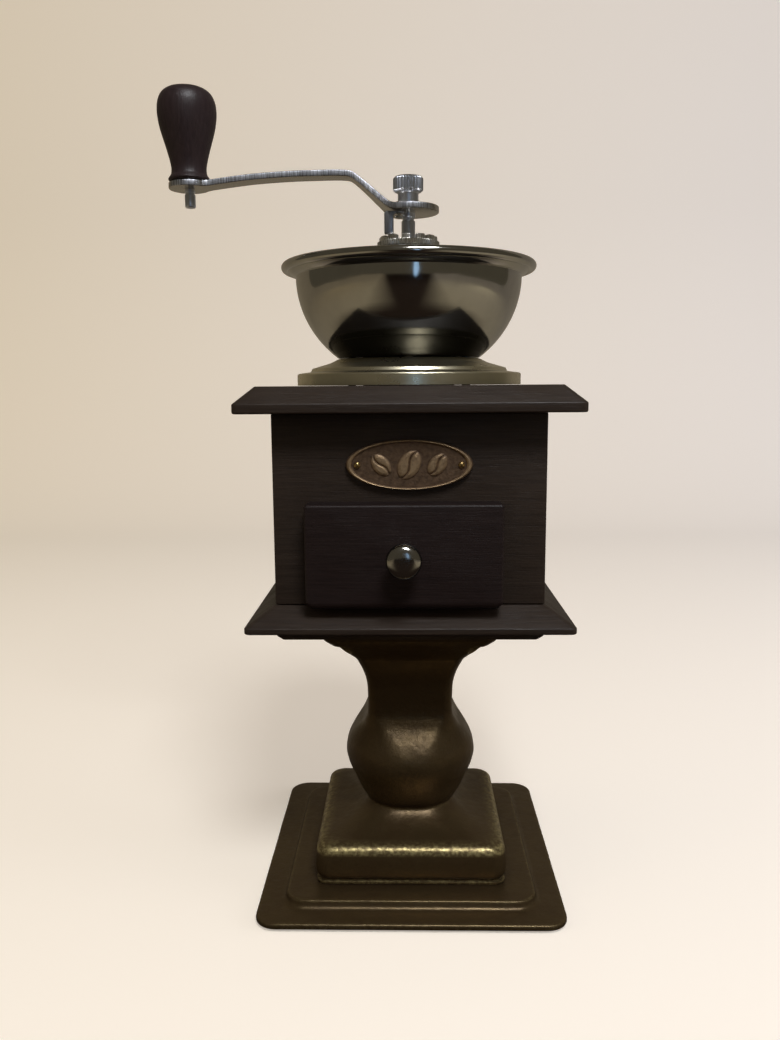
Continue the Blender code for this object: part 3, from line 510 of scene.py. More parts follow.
def bronze_paint():
    """Cast metal under brown-gold paint: painted shade in the hollows, lighter where hands rub it, and a painted gold
    highlight along the block's top edge.
    """
    finish = Finish("bronze_paint")
    clouds = finish.noise(13.0, 4.0)
    colour = finish.mix(finish.between(clouds, 0.3, 0.7), (0.078, 0.050, 0.022), (0.116, 0.080, 0.036))
    specks = finish.noise(0.8, 2.0, offset=9.0)
    colour = finish.mix(finish.between(specks, 0.55, 0.75, 0.0, 0.35), colour, (0.040, 0.024, 0.012))
    # Painted shade: the hollows, found by ambient occlusion, are drawn dark brown.
    openness_for_painted_shade = finish.node("ShaderNodeAmbientOcclusion", {"Distance": 9.0 * MM}, samples=6).outputs["AO"]
    colour = finish.mix(finish.between(openness_for_painted_shade, 0.75, 0.35, 0.0, 0.75), colour, (0.022, 0.011, 0.007))
    chips = finish.between(finish.noise(1.6, 4.0, offset=21.0), 0.40, 0.66, 0.15, 1.0)
    rubbed = finish.value('MULTIPLY', finish.edges(2.0), chips)
    # Painted highlight: a gold band along the block's top edge, mixed in with the rubbed edges.
    from_ridge = finish.value('ABSOLUTE', finish.value('SUBTRACT', finish.part("Z"), BLOCK_RIDGE_HIGHLIGHT_Z))
    ridge_painted_highlight = finish.value('MULTIPLY', finish.between(from_ridge, 2.4, 0.9), chips)
    rubbed = finish.value('MAXIMUM', finish.value('MULTIPLY', rubbed, 0.6), ridge_painted_highlight)
    colour = finish.mix(rubbed, colour, (0.46, 0.38, 0.17))
    finish.set(colour=colour, metallic=finish.between(clouds, 0.3, 0.7, 0.62, 0.78),
               roughness=finish.between(finish.noise(5.0, 4.0, offset=2.0), 0.3, 0.7, 0.31, 0.43))
    finish.bump(finish.noise(0.55, 3.0, offset=1.0), 0.035)
    finish.bump(finish.noise(3.5, 2.0, offset=6.0), 0.16)
    return finish.material


def polished_metal(name, colour, roughness, smear=0.05, lines=0.010, vertical=False, mirrored=1.0):
    """Plated or polished metal with fine turning lines and faint smears.

    mirrored is how bright it is drawn in other pieces' reflections, compared with seen directly; below 1 this is
    painted shade in those reflections."""
    finish = Finish(name)
    rounds = finish.part("Z") if vertical else finish.around()
    grooves = finish.node("ShaderNodeCombineXYZ", {0: rounds}).outputs[0]
    grooves = finish.node("ShaderNodeTexNoise", {"Vector": grooves, "Scale": 4.0, "Detail": 4.0}).outputs["Fac"]
    smears = finish.noise(11.0, 4.0)
    dull = tuple(c * 0.72 for c in colour)
    shade = finish.mix(finish.between(smears, 0.45, 0.8, 0.0, 0.5), colour, dull)
    # Painted shade in reflections: other pieces mirror this metal darker than it is.
    if mirrored < 1.0:
        in_mirror = finish.node("ShaderNodeLightPath").outputs["Is Glossy Ray"]
        shade = finish.mix(in_mirror, shade, tuple(c * mirrored for c in colour))
    finish.set(colour=shade, metallic=1.0,
               roughness=finish.between(smears, 0.35, 0.75, roughness, roughness + smear))
    finish.bump(grooves, lines)
    finish.bump(finish.noise(7.0, 1.0, offset=8.0), 0.03)
    return finish.material


def crank_steel():
    """Nickel-plated plate whose cut sides are paler, with upright marks left by the shears."""
    finish = Finish("crank_steel")
    side = finish.node("ShaderNodeNewGeometry").outputs["Normal"]
    side = finish.value('ABSOLUTE', finish.node("ShaderNodeSeparateXYZ", {0: side}).outputs["Y"])
    cut = finish.between(side, 0.55, 0.80)
    marks = finish.noise(0.45, 3.0, GRAIN["Z"])
    lines = finish.noise(0.22, 3.0, GRAIN["X"])
    sheared = finish.mix(finish.between(marks, 0.38, 0.62), (0.28, 0.28, 0.31), (0.74, 0.76, 0.82))
    colour = finish.mix(cut, (0.60, 0.57, 0.52), sheared)
    finish.set(colour=colour, metallic=1.0, roughness=finish.between(cut, 0.0, 1.0, 0.24, 0.40))
    finish.bump(finish.value('MULTIPLY', marks, cut), 0.16)
    finish.bump(lines, 0.012)
    return finish.material


def brushed_steel(name, colour, roughness, grain="X"):
    """Nickel-plated sheet with fine lines along its length and worn, brighter edges."""
    finish = Finish(name)
    lines = finish.noise(0.22, 3.0, GRAIN[grain])
    stains = finish.noise(5.0, 4.0, offset=4.0)
    dull = tuple(c * 0.6 for c in colour)
    shade = finish.mix(finish.between(stains, 0.5, 0.8, 0.0, 0.6), colour, dull)
    bright = tuple(min(1.0, c * 1.25) for c in colour)
    shade = finish.mix(finish.value('MULTIPLY', finish.edges(0.4), 0.6), shade, bright)
    finish.set(colour=shade, metallic=1.0,
               roughness=finish.between(lines, 0.3, 0.7, roughness, roughness + 0.12))
    finish.bump(lines, 0.02)
    return finish.material


def burr_iron():
    """Dark cast iron with fine pits and brighter cutting edges."""
    finish = Finish("burr_iron")
    grains = finish.noise(0.6, 4.0)
    colour = finish.mix(finish.between(grains, 0.35, 0.65), (0.09, 0.085, 0.08), (0.20, 0.19, 0.18))
    colour = finish.mix(finish.value('MULTIPLY', finish.edges(0.35), 0.8), colour, (0.45, 0.44, 0.42))
    finish.set(colour=colour, metallic=0.9, roughness=finish.between(grains, 0.3, 0.7, 0.38, 0.60))
    finish.bump(grains, 0.06)
    return finish.material


def brass():
    finish = Finish("brass")
    stains = finish.noise(2.0, 4.0)
    colour = finish.mix(finish.between(stains, 0.4, 0.7), (0.62, 0.44, 0.18), (0.36, 0.24, 0.10))
    finish.set(colour=colour, metallic=1.0, roughness=finish.between(stains, 0.3, 0.7, 0.22, 0.42))
    finish.bump(finish.noise(0.4, 2.0, offset=3.0), 0.01)
    return finish.material


def aged_copper(field_y, raised_y):
    """Copper-toned relief: brown-black in the sunk field, rubbed bright on what stands out."""
    finish = Finish("aged_copper")
    raised = finish.between(finish.part("Y"), field_y, raised_y)
    blotches = finish.noise(1.6, 4.0)
    rubbed = finish.value('MULTIPLY', raised, finish.between(blotches, 0.25, 0.55, 0.35, 1.0))
    field = finish.mix(finish.between(blotches, 0.3, 0.7), (0.078, 0.048, 0.028), (0.150, 0.095, 0.056))
    colour = finish.mix(rubbed, field, (0.44, 0.31, 0.18))
    finish.set(colour=colour, metallic=finish.between(rubbed, 0.0, 1.0, 0.45, 0.85),
               roughness=finish.between(blotches, 0.3, 0.7, 0.40, 0.58))
    finish.bump(finish.noise(0.5, 3.0, offset=2.0), 0.05)
    return finish.material


def felt():
    finish = Finish("felt")
    fibres = finish.noise(0.3, 5.0, roughness=0.7)
    colour = finish.mix(finish.between(fibres, 0.3, 0.7), (0.018, 0.018, 0.018), (0.060, 0.058, 0.056))
    finish.set(colour=colour, roughness=0.95, sheen=0.4)
    finish.bump(fibres, 0.25)
    return finish.material


def make_finishes():
    espresso = ((0.0215, 0.0142, 0.0102), (0.0365, 0.0250, 0.0178), (0.125, 0.090, 0.062))
    purplish = ((0.0200, 0.0120, 0.0130), (0.0320, 0.0200, 0.0210), (0.110, 0.080, 0.062))
    redder = ((0.0120, 0.0070, 0.0066), (0.0205, 0.0125, 0.0115), (0.085, 0.052, 0.040))
    badge_low, badge_high = span("oval_badge")
    return {
        "wood_x": stained_wood("dark_wood_x", "X", *espresso, 0.46, 0.34),
        "wood_y": stained_wood("dark_wood_y", "Y", *espresso, 0.46, 0.34),
        "drawer_wood": stained_wood("dark_wood_drawer", "X", *redder, 0.46, 0.26),
        "grip_wood": stained_wood("dark_wood_grip", "Z", *purplish, 0.42, 0.36),
        "plain_wood": plain_wood(),
        "bronze_paint": bronze_paint(),
        "chrome": polished_metal("chrome", (0.56, 0.54, 0.49), 0.09),
        # The foot ring is drawn nearly black in the bowl's reflection, as painted shade.
        "foot_metal": polished_metal("foot_metal", (0.86, 0.79, 0.58), 0.27, 0.08, mirrored=0.05),
        "knob_chrome": polished_metal("knob_chrome", (0.50, 0.48, 0.44), 0.13),
        "bright_steel": brushed_steel("bright_steel", (0.60, 0.58, 0.54), 0.20),
        "gear_steel": brushed_steel("gear_steel", (0.76, 0.74, 0.69), 0.22, "Z"),
        "crank_steel": crank_steel(),
        "shaft_steel": polished_metal("shaft_steel", (0.78, 0.82, 0.92), 0.28, vertical=True),
        "leg_steel": brushed_steel("leg_steel", (0.42, 0.42, 0.44), 0.26, "Z"),
        "dark_steel": brushed_steel("dark_steel", (0.13, 0.12, 0.11), 0.34),
        "burr_iron": burr_iron(),
        "brass": brass(),
        "aged_copper": aged_copper(badge_high.y - 1.5, badge_low.y),
        "felt": felt(),
    }


# ---------------------------------------------------------------- base plate and pedestal

def build_base(finishes):
    """Stamped plate with a rounded edge and a raised step, over a felt sheet."""
    low, high = span("base_plate")
    half, bottom, top = high.x, low.z, high.z
    step = half - STEP_INSET
    edge = soft_line((
        (RECESS_HALF, RECESS_Z, 6.0, 0.0), (RECESS_HALF, bottom, 6.0, 0.3),
        (half, bottom, PLATE_CORNER, 0.5), (half, PLATE_EDGE_Z, PLATE_CORNER, 1.0),
        (step + 0.9, PLATE_EDGE_Z, PLATE_CORNER + 0.9, 2.6), (step, top, PLATE_CORNER, 0.9),
        (step - 3.0, top, PLATE_CORNER - 2.0, 0.0)), steps=5)
    rings = [round_ring(RECESS_Z, BORE_R, 8, 12)]
    rings += [square_ring(z, wide, corner, 8, 12) for wide, z, corner in edge]
    rings.append(round_ring(top, BORE_R, 8, 12))
    piece("base_plate", ripple(loft(rings, closed=True), 0.10, 17.0), finishes["bronze_paint"])
    piece("base_felt", cad_solid("base_felt"), finishes["felt"], bevel=0.25)


def build_pedestal(finishes):
    """The casting: squared sections joined by smooth curves, bored from below."""
    low, high = span("pedestal_column")
    rings = [round_ring(BORE_TOP, 0.5, 12, 10), round_ring(BORE_TOP, BORE_R, 12, 10),
             round_ring(low.z, BORE_R, 12, 10)]
    for z, half, corner in smooth_line(PEDESTAL_SECTIONS, 4):
        rings.append(square_ring(z, half, corner, 12, 10))
    flange_screw = span("pedestal_screw_3")
    spot = (flange_screw[0].x + flange_screw[1].x) / 2.0
    head_seat = flange_screw[0].z + 2.7
    tools = []
    for sx, sy in ((-1, -1), (1, -1), (1, 1), (-1, 1)):
        profile = ((0.0, 100.0), (FLANGE_POCKET_R, 100.0), (FLANGE_POCKET_R, head_seat),
                   (2.3, head_seat), (2.3, high.z + 2.0), (0.0, high.z + 2.0))
        tools.append(turn(profile, 24, (sx * spot, sy * spot)))
    piece("pedestal_column", ripple(loft(rings), CAST_RIPPLE, 12.0), finishes["bronze_paint"], tools=tools)


# ---------------------------------------------------------------- wooden box

def build_boards(finishes):
    wood = finishes["wood_x"]
    low, high = span("bottom_panel")
    outline = soft_line((
        (high.x - 1.9, low.z, 1.5, 0.0), (high.x, low.z + 1.9, 1.5, 0.3),
        (high.x, high.z, 1.5, 0.3), (high.x - 3.0, high.z, 1.5, 0.0)))
    piece("bottom_panel", loft([square_ring(z, half, corner) for half, z, corner in outline]), wood)

    low, high = span("bottom_board")
    face = high.x - BOTTOM_BEVEL_IN
    outline = soft_line((
        (face, low.z, 2.0, 0.0), (high.x, low.z, 2.2, 0.6), (high.x, low.z + BOTTOM_LIP, 2.2, 0.6),
        (face + 0.4, high.z, 1.8, 0.4), (face - 6.0, high.z, 1.5, 0.0)), steps=5)
    rings = [square_ring(z, half, corner, side=6) for half, z, corner in outline]
    piece("bottom_board", ripple(loft(rings), 0.05, 30.0), wood)

    low, high = span("top_board")
    face = high.x - TOP_BEVEL_IN
    hole = (span("ring_burr")[1].x - 8.0)
    outline = soft_line((
        (face, low.z, 2.0, 0.0), (high.x, low.z, 2.4, 0.8), (high.x, low.z + TOP_LIP, 2.4, 0.8),
        (face, high.z, 2.2, 0.7), (face - 8.0, high.z, 2.0, 0.0)), steps=5)
    rings = [round_ring(low.z, hole, 6, 6)]
    rings += [square_ring(z, half, corner, side=6) for half, z, corner in outline]
    rings.append(round_ring(high.z, hole, 6, 6))
    piece("top_board", ripple(loft(rings, closed=True), 0.05, 30.0), wood)


def build_walls(finishes):
    low, high = span("front_panel")
    drawer = span("drawer_front")
    middle = (drawer[0].x + drawer[1].x) / 2.0
    left, right = middle - OPENING_HALF, middle + OPENING_HALF
    outline = ((low.x, low.z), (left, low.z), (left, OPENING_TOP), (right, OPENING_TOP),
               (right, low.z), (high.x, low.z), (high.x, high.z), (low.x, high.z))
    piece("front_panel", prism(outline, "Y", low.y, high.y), finishes["wood_x"], bevel=SOFT_EDGE)
    low, high = span("back_panel")
    piece("back_panel", block(low, high), finishes["wood_x"], bevel=SOFT_EDGE)
    for node in ("left_panel", "right_panel"):
        low, high = span(node)
        piece(node, block(low, high), finishes["wood_y"], bevel=0.35)
    for node in ("drawer_guide_left", "drawer_guide_right"):
        low, high = span(node)
        piece(node, block(low, high), finishes["plain_wood"], bevel=0.6)


# ---------------------------------------------------------------- badge

def bean_height(x, z, centre_x, long, short, tilt):
    """Height from 0 to 1 of a coffee bean's dome with its curved crease."""
    u = (x - centre_x) * math.cos(tilt) + z * math.sin(tilt)
    v = z * math.cos(tilt) - (x - centre_x) * math.sin(tilt)
    inside = 1.0 - (u / long) ** 2 - (v / short) ** 2
    if inside <= 0.0:
        return 0.0
    crease = 0.22 * short * math.sin(math.pi * u / long)
    groove = math.exp(-((v - crease) / 0.42) ** 2)
    return min(1.0, 1.35 * math.sqrt(inside)) * (1.0 - 0.85 * groove)


def badge_height(x, z, share):
    """How far the badge's face stands above its field; share runs from 0 at the middle to 1."""
    if share > 0.90:
        across = (share - 0.90) / 0.10
        return 0.9 * math.sin(math.pi * min(across / 0.85, 1.0)) ** 0.6 if across < 0.85 else -0.9 * (across - 0.85) / 0.15
    beans = max(bean_height(x, z, 0.0, 6.1, 4.3, 1.05), bean_height(x, z, -11.0, 4.9, 3.4, -0.9),
                bean_height(x, z, 11.0, 4.9, 3.4, 0.9))
    pebble = 0.04 * noise.noise(Vector((x, z, 0.0)) * 1.6)
    return 0.85 * beans + pebble


def build_badge(finishes):
    """Oval plate with a raised rim round three coffee beans in relief, held by two small nails."""
    low, high = span("oval_badge")
    middle = (low.z + high.z) / 2.0
    long, short = high.x, (high.z - low.z) / 2.0
    field = high.y - 1.4
    sectors = 300
    rings = [[(long * math.cos(TAU * i / sectors), high.y, middle + short * math.sin(TAU * i / sectors))
              for i in range(sectors)]]
    steps = 84
    for k in range(steps + 1):
        share = max(1.0 - k / steps, 0.002)
        ring = []
        for i in range(sectors):
            angle = TAU * i / sectors
            x = long * share * math.cos(angle)
            z = short * share * math.sin(angle)
            ring.append((x, field - badge_height(x, z, share), middle + z))
        rings.append(ring)
    piece("oval_badge", loft(rings), finishes["aged_copper"])
    for node in ("badge_nail_left", "badge_nail_right"):
        low, high = span(node)
        spot = ((low.x + high.x) / 2.0, (low.z + high.z) / 2.0)
        head = low.y + 0.9
        dome = [(1.3 * math.sin(a * math.pi / 16), head - 0.9 * math.cos(a * math.pi / 16)) for a in range(9)]
        profile = dome + [(0.6, head), (0.6, high.y), (0.0, high.y)]
        piece(node, turn(profile, 24, spot, axis="Y"), finishes["brass"])


# ---------------------------------------------------------------- drawer

def front_outline(low, high, inset):
    """The drawer front's outline drawn in by inset: nearly square above, rounder below."""
    left, right = low.x + inset, high.x - inset
    bottom, top = low.z + inset, high.z - inset
    upper = max(FRONT_HIGH_CORNER - inset, 0.3)
    lower = max(FRONT_LOW_CORNER - inset, 0.3)
    corners = ((right - upper, top - upper, upper), (left + upper, top - upper, upper),
               (left + lower, bottom + lower, lower), (right - lower, bottom + lower, lower))
    outline = []
    for quarter, (x, z, corner) in enumerate(corners):
        for k in range(9):
            angle = math.pi / 2.0 * (quarter + k / 8.0)
            outline.append(Vector((x + corner * math.cos(angle), z + corner * math.sin(angle))))
    sides = []
    for here, after in zip(outline, outline[1:] + outline[:1]):
        steps = max(1, int((after - here).length / 6.0))
        sides += [here.lerp(after, k / steps) for k in range(steps)]
    return sides


def droop(depth, height):
    """How far the lower front edge is planed up, for its wide rounding."""
    if depth >= LOW_ROUND or height >= LOW_ROUND:
        return 0.0
    return (LOW_ROUND - math.sqrt(LOW_ROUND ** 2 - (LOW_ROUND - depth) ** 2)) * (1.0 - height / LOW_ROUND)


def build_drawer(finishes):
    low, high = span("drawer_front")
    edge = soft_line(((0.0, high.y, 0.0), (0.0, low.y + 3.2, 0.0), (0.0, low.y + 2.2, 0.0), (0.0, low.y, 1.0), (3.0, low.y, 0.0)), steps=6)
    rings = [[(x, y, z) for x, z in front_outline(low, high, inset)] for inset, y in edge[:-1]]
    rings = [[(x, y, z + droop(y - low.y, z - low.z)) for x, y, z in ring] for ring in rings]
    piece("drawer_front", loft(rings), finishes["drawer_wood"])
    for node in ("drawer_side_left", "drawer_side_right", "drawer_back", "drawer_bottom"):
        low, high = span(node)
        piece(node, block(low, high), finishes["plain_wood"], bevel=0.5)

    low, high = span("drawer_knob")
    spot = ((low.x + high.x) / 2.0, (low.z + high.z) / 2.0)
    shape = smooth_line((
        (3.6, 0.0), (3.5, 0.7), (2.8, 1.8), (2.7, 3.0), (3.3, 4.0), (5.1, 5.0), (6.5, 6.5), (6.85, 7.9),
        (6.65, 9.2), (5.9, 10.3), (4.6, 11.0), (2.4, 11.4), (0.0, 11.5)), 5)
    profile = [(0.0, high.y)] + [(r, high.y - out) for r, out in shape]
    piece("drawer_knob", turn(profile, 72, spot, axis="Y"), finishes["knob_chrome"])
    low, high = span("drawer_knob_screw")
    seat = high.y - 2.2
    profile = soft_line((
        (0.0, high.y, 0.0), (2.8, high.y, 1.0), (3.4, seat, 0.1), (1.5, seat, 0.0), (1.5, low.y, 0.2), (0.0, low.y, 0.0)))
    slot = block((spot[0] - 4.0, high.y - 0.9, spot[1] - 0.45), (spot[0] + 4.0, high.y + 1.0, spot[1] + 0.45))
    piece("drawer_knob_screw", turn(profile, SIDES_SCREW, spot, axis="Y"), finishes["bright_steel"], tools=[slot])


# ---------------------------------------------------------------- hopper

def build_foot_ring(finishes):
    """Pressed ring: a low wall, a narrow ledge, then a slope up to the bowl."""
    low, high = span("hopper_foot_ring")
    wide, base, top = high.x, low.z, high.z
    hole = 21.5
    outside = soft_line((
        (wide, base, 0.0), (wide, base + 5.0, 0.9), (wide - 5.9, base + 5.8, 0.7), (wide - 6.6, base + 7.3, 0.7),
        (wide - 14.5, base + 9.6, 5.0), (wide - 18.2, top, 1.6), (hole, top, 0.0)), steps=6)
    inside = soft_line((
        (hole, top - SHEET, 0.0), (wide - 18.5, top - SHEET, 1.0), (wide - 15.2, base + 8.8, 4.0),
        (wide - 7.6, base + 6.5, 0.5), (wide - 6.8, base + 4.9, 0.5), (wide - SHEET, base + 4.2, 0.5),
        (wide - SHEET, base, 0.0)), steps=4)
    holes = [turn(((0.0, top - 3.0), (2.2, top - 3.0), (2.2, top + 1.0), (0.0, top + 1.0)), 20, spot)
             for spot in screw_spots()]
    piece("hopper_foot_ring", turn(outside + inside, SIDES_BOWL, closed=True), finishes["foot_metal"], tools=holes)


def screw_spots():
    reach = span("hopper_screw_3")
    out = (reach[0].x + reach[1].x) / 2.0
    return ((-out, 0.0), (0.0, -out), (out, 0.0), (0.0, out))


def bowl_wall(radius, depth, centre_z, floor, steps):
    """Points up a bowl's wall: a quarter of an ellipse that starts on a flat floor."""
    start = math.acos((centre_z - floor) / depth)
    wall = []
    for k in range(steps + 1):
        angle = start + (math.pi / 2.0 - start) * k / steps
        wall.append((radius * math.sin(angle), centre_z - depth * math.cos(angle)))
    return wall


def build_bowl(finishes):
    """Spun bowl: rounded wall, flared flange and a rolled bead round its mouth."""
    low, high = span("hopper_bowl")
    bead = (high.x - RIM_BEAD_R, high.z - RIM_BEAD_R)
    mouth_z = low.z + BOWL_MOUTH_UP
    radius = high.x - RIM_WIDTH
    outer = bowl_wall(radius, BOWL_DEPTH, mouth_z, low.z, 44)
    inner = bowl_wall(radius - SHEET, BOWL_DEPTH - SHEET, mouth_z, low.z + SHEET, 44)
    roll = []
    for k in range(25):
        angle = math.radians(-125.0 + k * 300.0 / 24.0)
        roll.append((bead[0] + RIM_BEAD_R * math.cos(angle), bead[1] + RIM_BEAD_R * math.sin(angle)))
    under_flange = [(radius + 0.5, mouth_z + 0.3), (radius + 2.2, mouth_z + 1.0)]
    over_flange = [(radius + 1.5, mouth_z + 2.3), (radius - 0.2, mouth_z + 1.3), (radius - SHEET, mouth_z + 0.5)]
    profile = [(BOWL_HOLE_R, low.z)] + outer + under_flange + roll + over_flange
    profile += inner[::-1] + [(BOWL_HOLE_R, low.z + SHEET)]
    holes = [turn(((0.0, low.z - 1.0), (2.2, low.z - 1.0), (2.2, low.z + 3.0), (0.0, low.z + 3.0)), 20, spot)
             for spot in screw_spots()]
    piece("hopper_bowl", turn(profile, SIDES_BOWL, closed=True), finishes["chrome"], tools=holes)


def screw_head(node, head_r, head_z, shank_r, low_z, spot, finish):
    """Round-headed slotted screw standing up."""
    seat, crown = head_z
    dome = [(head_r * math.sin(k * math.pi / 20.0), seat + (crown - seat) * math.cos(k * math.pi / 20.0) ** 0.7)
            for k in range(10)]
    profile = dome + [(head_r, seat), (shank_r, seat), (shank_r, low_z + 1.5), (0.0, low_z)]
    x, y = spot
    slot = block((x - head_r, y - 0.5, crown - 1.0), (x + head_r, y + 0.5, crown + 1.0))
    piece(node, turn(profile, SIDES_SCREW, spot), finish, tools=[slot])


def build_hopper_screws(finishes):
    for number, spot in enumerate(screw_spots(), start=1):
        node = "hopper_screw_%d" % number
        low, high = span(node)
        screw_head(node, 3.5, (high.z - 2.2, high.z), 1.8, low.z, spot, finishes["bright_steel"])


# ---------------------------------------------------------------- burrs, bridge and bearings

def build_burrs(finishes):
    """Ring burr with slanted teeth inside, and the cone with coarse flutes over fine teeth."""
    low, high = span("ring_burr")
    flange = 236.8 + 0.3

    def toothed_inside(radius, z, angle):
        if radius > 18.5:
            return radius
        wave = (RING_TEETH * angle / TAU + z * 0.09) % 1.0
        return radius + 1.1 * wave

    outside = [(20.4, low.z + 0.4), (20.4, flange), (high.x - 0.4, flange), (high.x, flange + 0.4),
               (high.x, high.z - 0.5), (high.x - 0.5, high.z), (19.2, high.z)]
    inside = [(18.0, high.z - 0.3), (17.2, 237.0), (16.2, 234.0), (15.2, 231.0), (14.7, 228.0), (15.0, 224.0),
              (15.6, 219.0), (16.2, 214.0), (16.9, 209.0), (17.2, low.z + 0.3), (18.6, low.z)]
    holes = [turn(((0.0, flange - 1.0), (2.2, flange - 1.0), (2.2, high.z + 1.0), (0.0, high.z + 1.0)), 20, spot)
             for spot in screw_spots()]
    piece("ring_burr", turn(outside + inside, RING_TEETH * 10, closed=True, radius_at=toothed_inside),
          finishes["burr_iron"], tools=holes)

    low, high = span("inner_burr")

    def toothed_cone(radius, z, angle):
        if radius < 4.0:
            return radius
        height = (z - low.z) / (high.z - low.z)
        if height > 0.55:
            wave = (CONE_FLUTES * (angle / TAU + height * 0.35)) % 1.0
            return max(radius - 2.6 * wave * min(1.0, (height - 0.5) * 4.0), 4.2)
        wave = (CONE_TEETH * (angle / TAU + height * 0.12)) % 1.0
        return radius - 1.0 * wave

    cone = [(3.3, low.z), (14.0, low.z), (16.3, low.z + 1.9)]
    for k in range(1, 25):
        share = k / 24.0
        bulge = 1.2 * math.sin(math.pi * share)
        cone.append((16.3 + (5.4 - 16.3) * share - bulge, low.z + 2.4 + (high.z - low.z - 2.4) * share))
    cone.append((3.3, high.z))
    piece("inner_burr", turn(cone, CONE_TEETH * 10, closed=True, radius_at=toothed_cone), finishes["burr_iron"])


def strap_outline(bends, thickness):
    """Both faces of a bent strip whose middle line turns at the given (u, v, radius) bends."""
    line = soft_line(bends, steps=6)
    left = []
    right = []
    for i, here in enumerate(line):
        before = line[max(i - 1, 0)]
        after = line[min(i + 1, len(line) - 1)]
        heading = (after - before).normalized()
        side = Vector((-heading.y, heading.x)) * (thickness / 2.0)
        left.append(here + side)
        right.append(here - side)
    return left + right[::-1]


def build_bridge(finishes):
    """Strap across the mouth, its bush, and the bracket that steadies the spindle below."""
    steel = finishes["bright_steel"]
    low, high = span("hopper_bridge")
    sheet = 2.2
    foot, bar = low.z + sheet / 2.0, high.z - sheet / 2.0
    bends = ((low.x, foot, 0.0), (-20.1, foot, 2.6), (-20.1, bar, 2.6), (20.1, bar, 2.6), (20.1, foot, 2.6),
             (high.x, foot, 0.0))
    tools = [turn(((0.0, high.z - 5.0), (5.4, high.z - 5.0), (5.4, high.z + 5.0), (0.0, high.z + 5.0)), 48)]
    for side in (-1.0, 1.0):
        tools.append(turn(((0.0, low.z - 1.0), (2.2, low.z - 1.0), (2.2, low.z + 4.0), (0.0, low.z + 4.0)),
                          24, (side * 25.5, 0.0)))
    piece("hopper_bridge", prism(strap_outline(bends, sheet), "Y", low.y, high.y), steel, bevel=0.35, tools=tools)

    low, high = span("spindle_bush")
    flange = high.z - 1.2
    profile = soft_line(((3.3, low.z, 0.2), (5.1, low.z, 0.3), (5.1, flange, 0.1), (8.0, flange, 0.2),
                         (8.0, high.z, 0.3), (3.3, high.z, 0.2)), closed=True)
    piece("spindle_bush", turn(profile, SIDES_ROUND, closed=True), finishes["brass"])

    low, high = span("lower_bracket")
    sheet = 2.0
    foot, bar = high.z - sheet / 2.0, low.z + sheet / 2.0
    bends = ((low.x, foot, 0.0), (-27.0, foot, 2.4), (-27.0, bar, 2.4), (27.0, bar, 2.4), (27.0, foot, 2.4),
             (high.x, foot, 0.0))
    tools = [turn(((0.0, low.z - 2.0), (3.3, low.z - 2.0), (3.3, low.z + 4.0), (0.0, low.z + 4.0)), 32)]
    for side in (-1.0, 1.0):
        tools.append(turn(((0.0, high.z - 4.0), (2.2, high.z - 4.0), (2.2, high.z + 1.0), (0.0, high.z + 1.0)),
                          24, (side * 33.0, 0.0)))
    piece("lower_bracket", prism(strap_outline(bends, sheet), "Y", low.y, high.y), finishes["dark_steel"],
          bevel=0.3, tools=tools)


def build_spring(finishes):
    """Coil of round wire whose end turns lie close together."""
    low, high = span("burr_spring")
    wire = 0.6
    coil = high.x - wire
    turns = 6.0
    steps = int(turns * 40)
    rings = []
    for k in range(steps + 1):
        share = k / steps
        settled = share - math.sin(TAU * share) / TAU * 0.55
        angle = TAU * turns * share
        z = low.z + wire + (high.z - low.z - 2.0 * wire) * settled
        ring = []
        for i in range(10):
            b = TAU * i / 10
            r = coil + wire * math.cos(b)
            ring.append((r * math.cos(angle), r * math.sin(angle), z + wire * math.sin(b)))
        rings.append(ring)
    piece("burr_spring", loft(rings), finishes["bright_steel"])


def build_spindle(finishes):
    """Plain shaft with rounded ends and a narrow relief groove under the crank's disc."""
    low, high = span("spindle")
    radius = high.x
    disc_under = span("crank_arm")[0].z
    profile = soft_line((
        (0.0, low.z, 0.0), (radius, low.z, 0.6), (radius, disc_under - 3.4, 0.2), (radius - 0.5, disc_under - 3.1, 0.1),
        (radius - 0.5, disc_under - 1.9, 0.1), (radius, disc_under - 1.6, 0.2), (radius, high.z, 0.6),
        (0.0, high.z, 0.0)))
    piece("spindle", turn(profile, SIDES_ROUND), finishes["shaft_steel"])
    piece("burr_nut", cad_solid("burr_nut"), finishes["bright_steel"], bevel=0.3)
    low, high = span("spring_collar")
    profile = soft_line(((3.3, low.z, 0.2), (7.2, low.z, 0.3), (7.2, high.z, 0.3), (3.3, high.z, 0.2)), closed=True)
    piece("spring_collar", turn(profile, SIDES_ROUND, closed=True), finishes["bright_steel"])


# ---------------------------------------------------------------- adjusting gear and stop leg

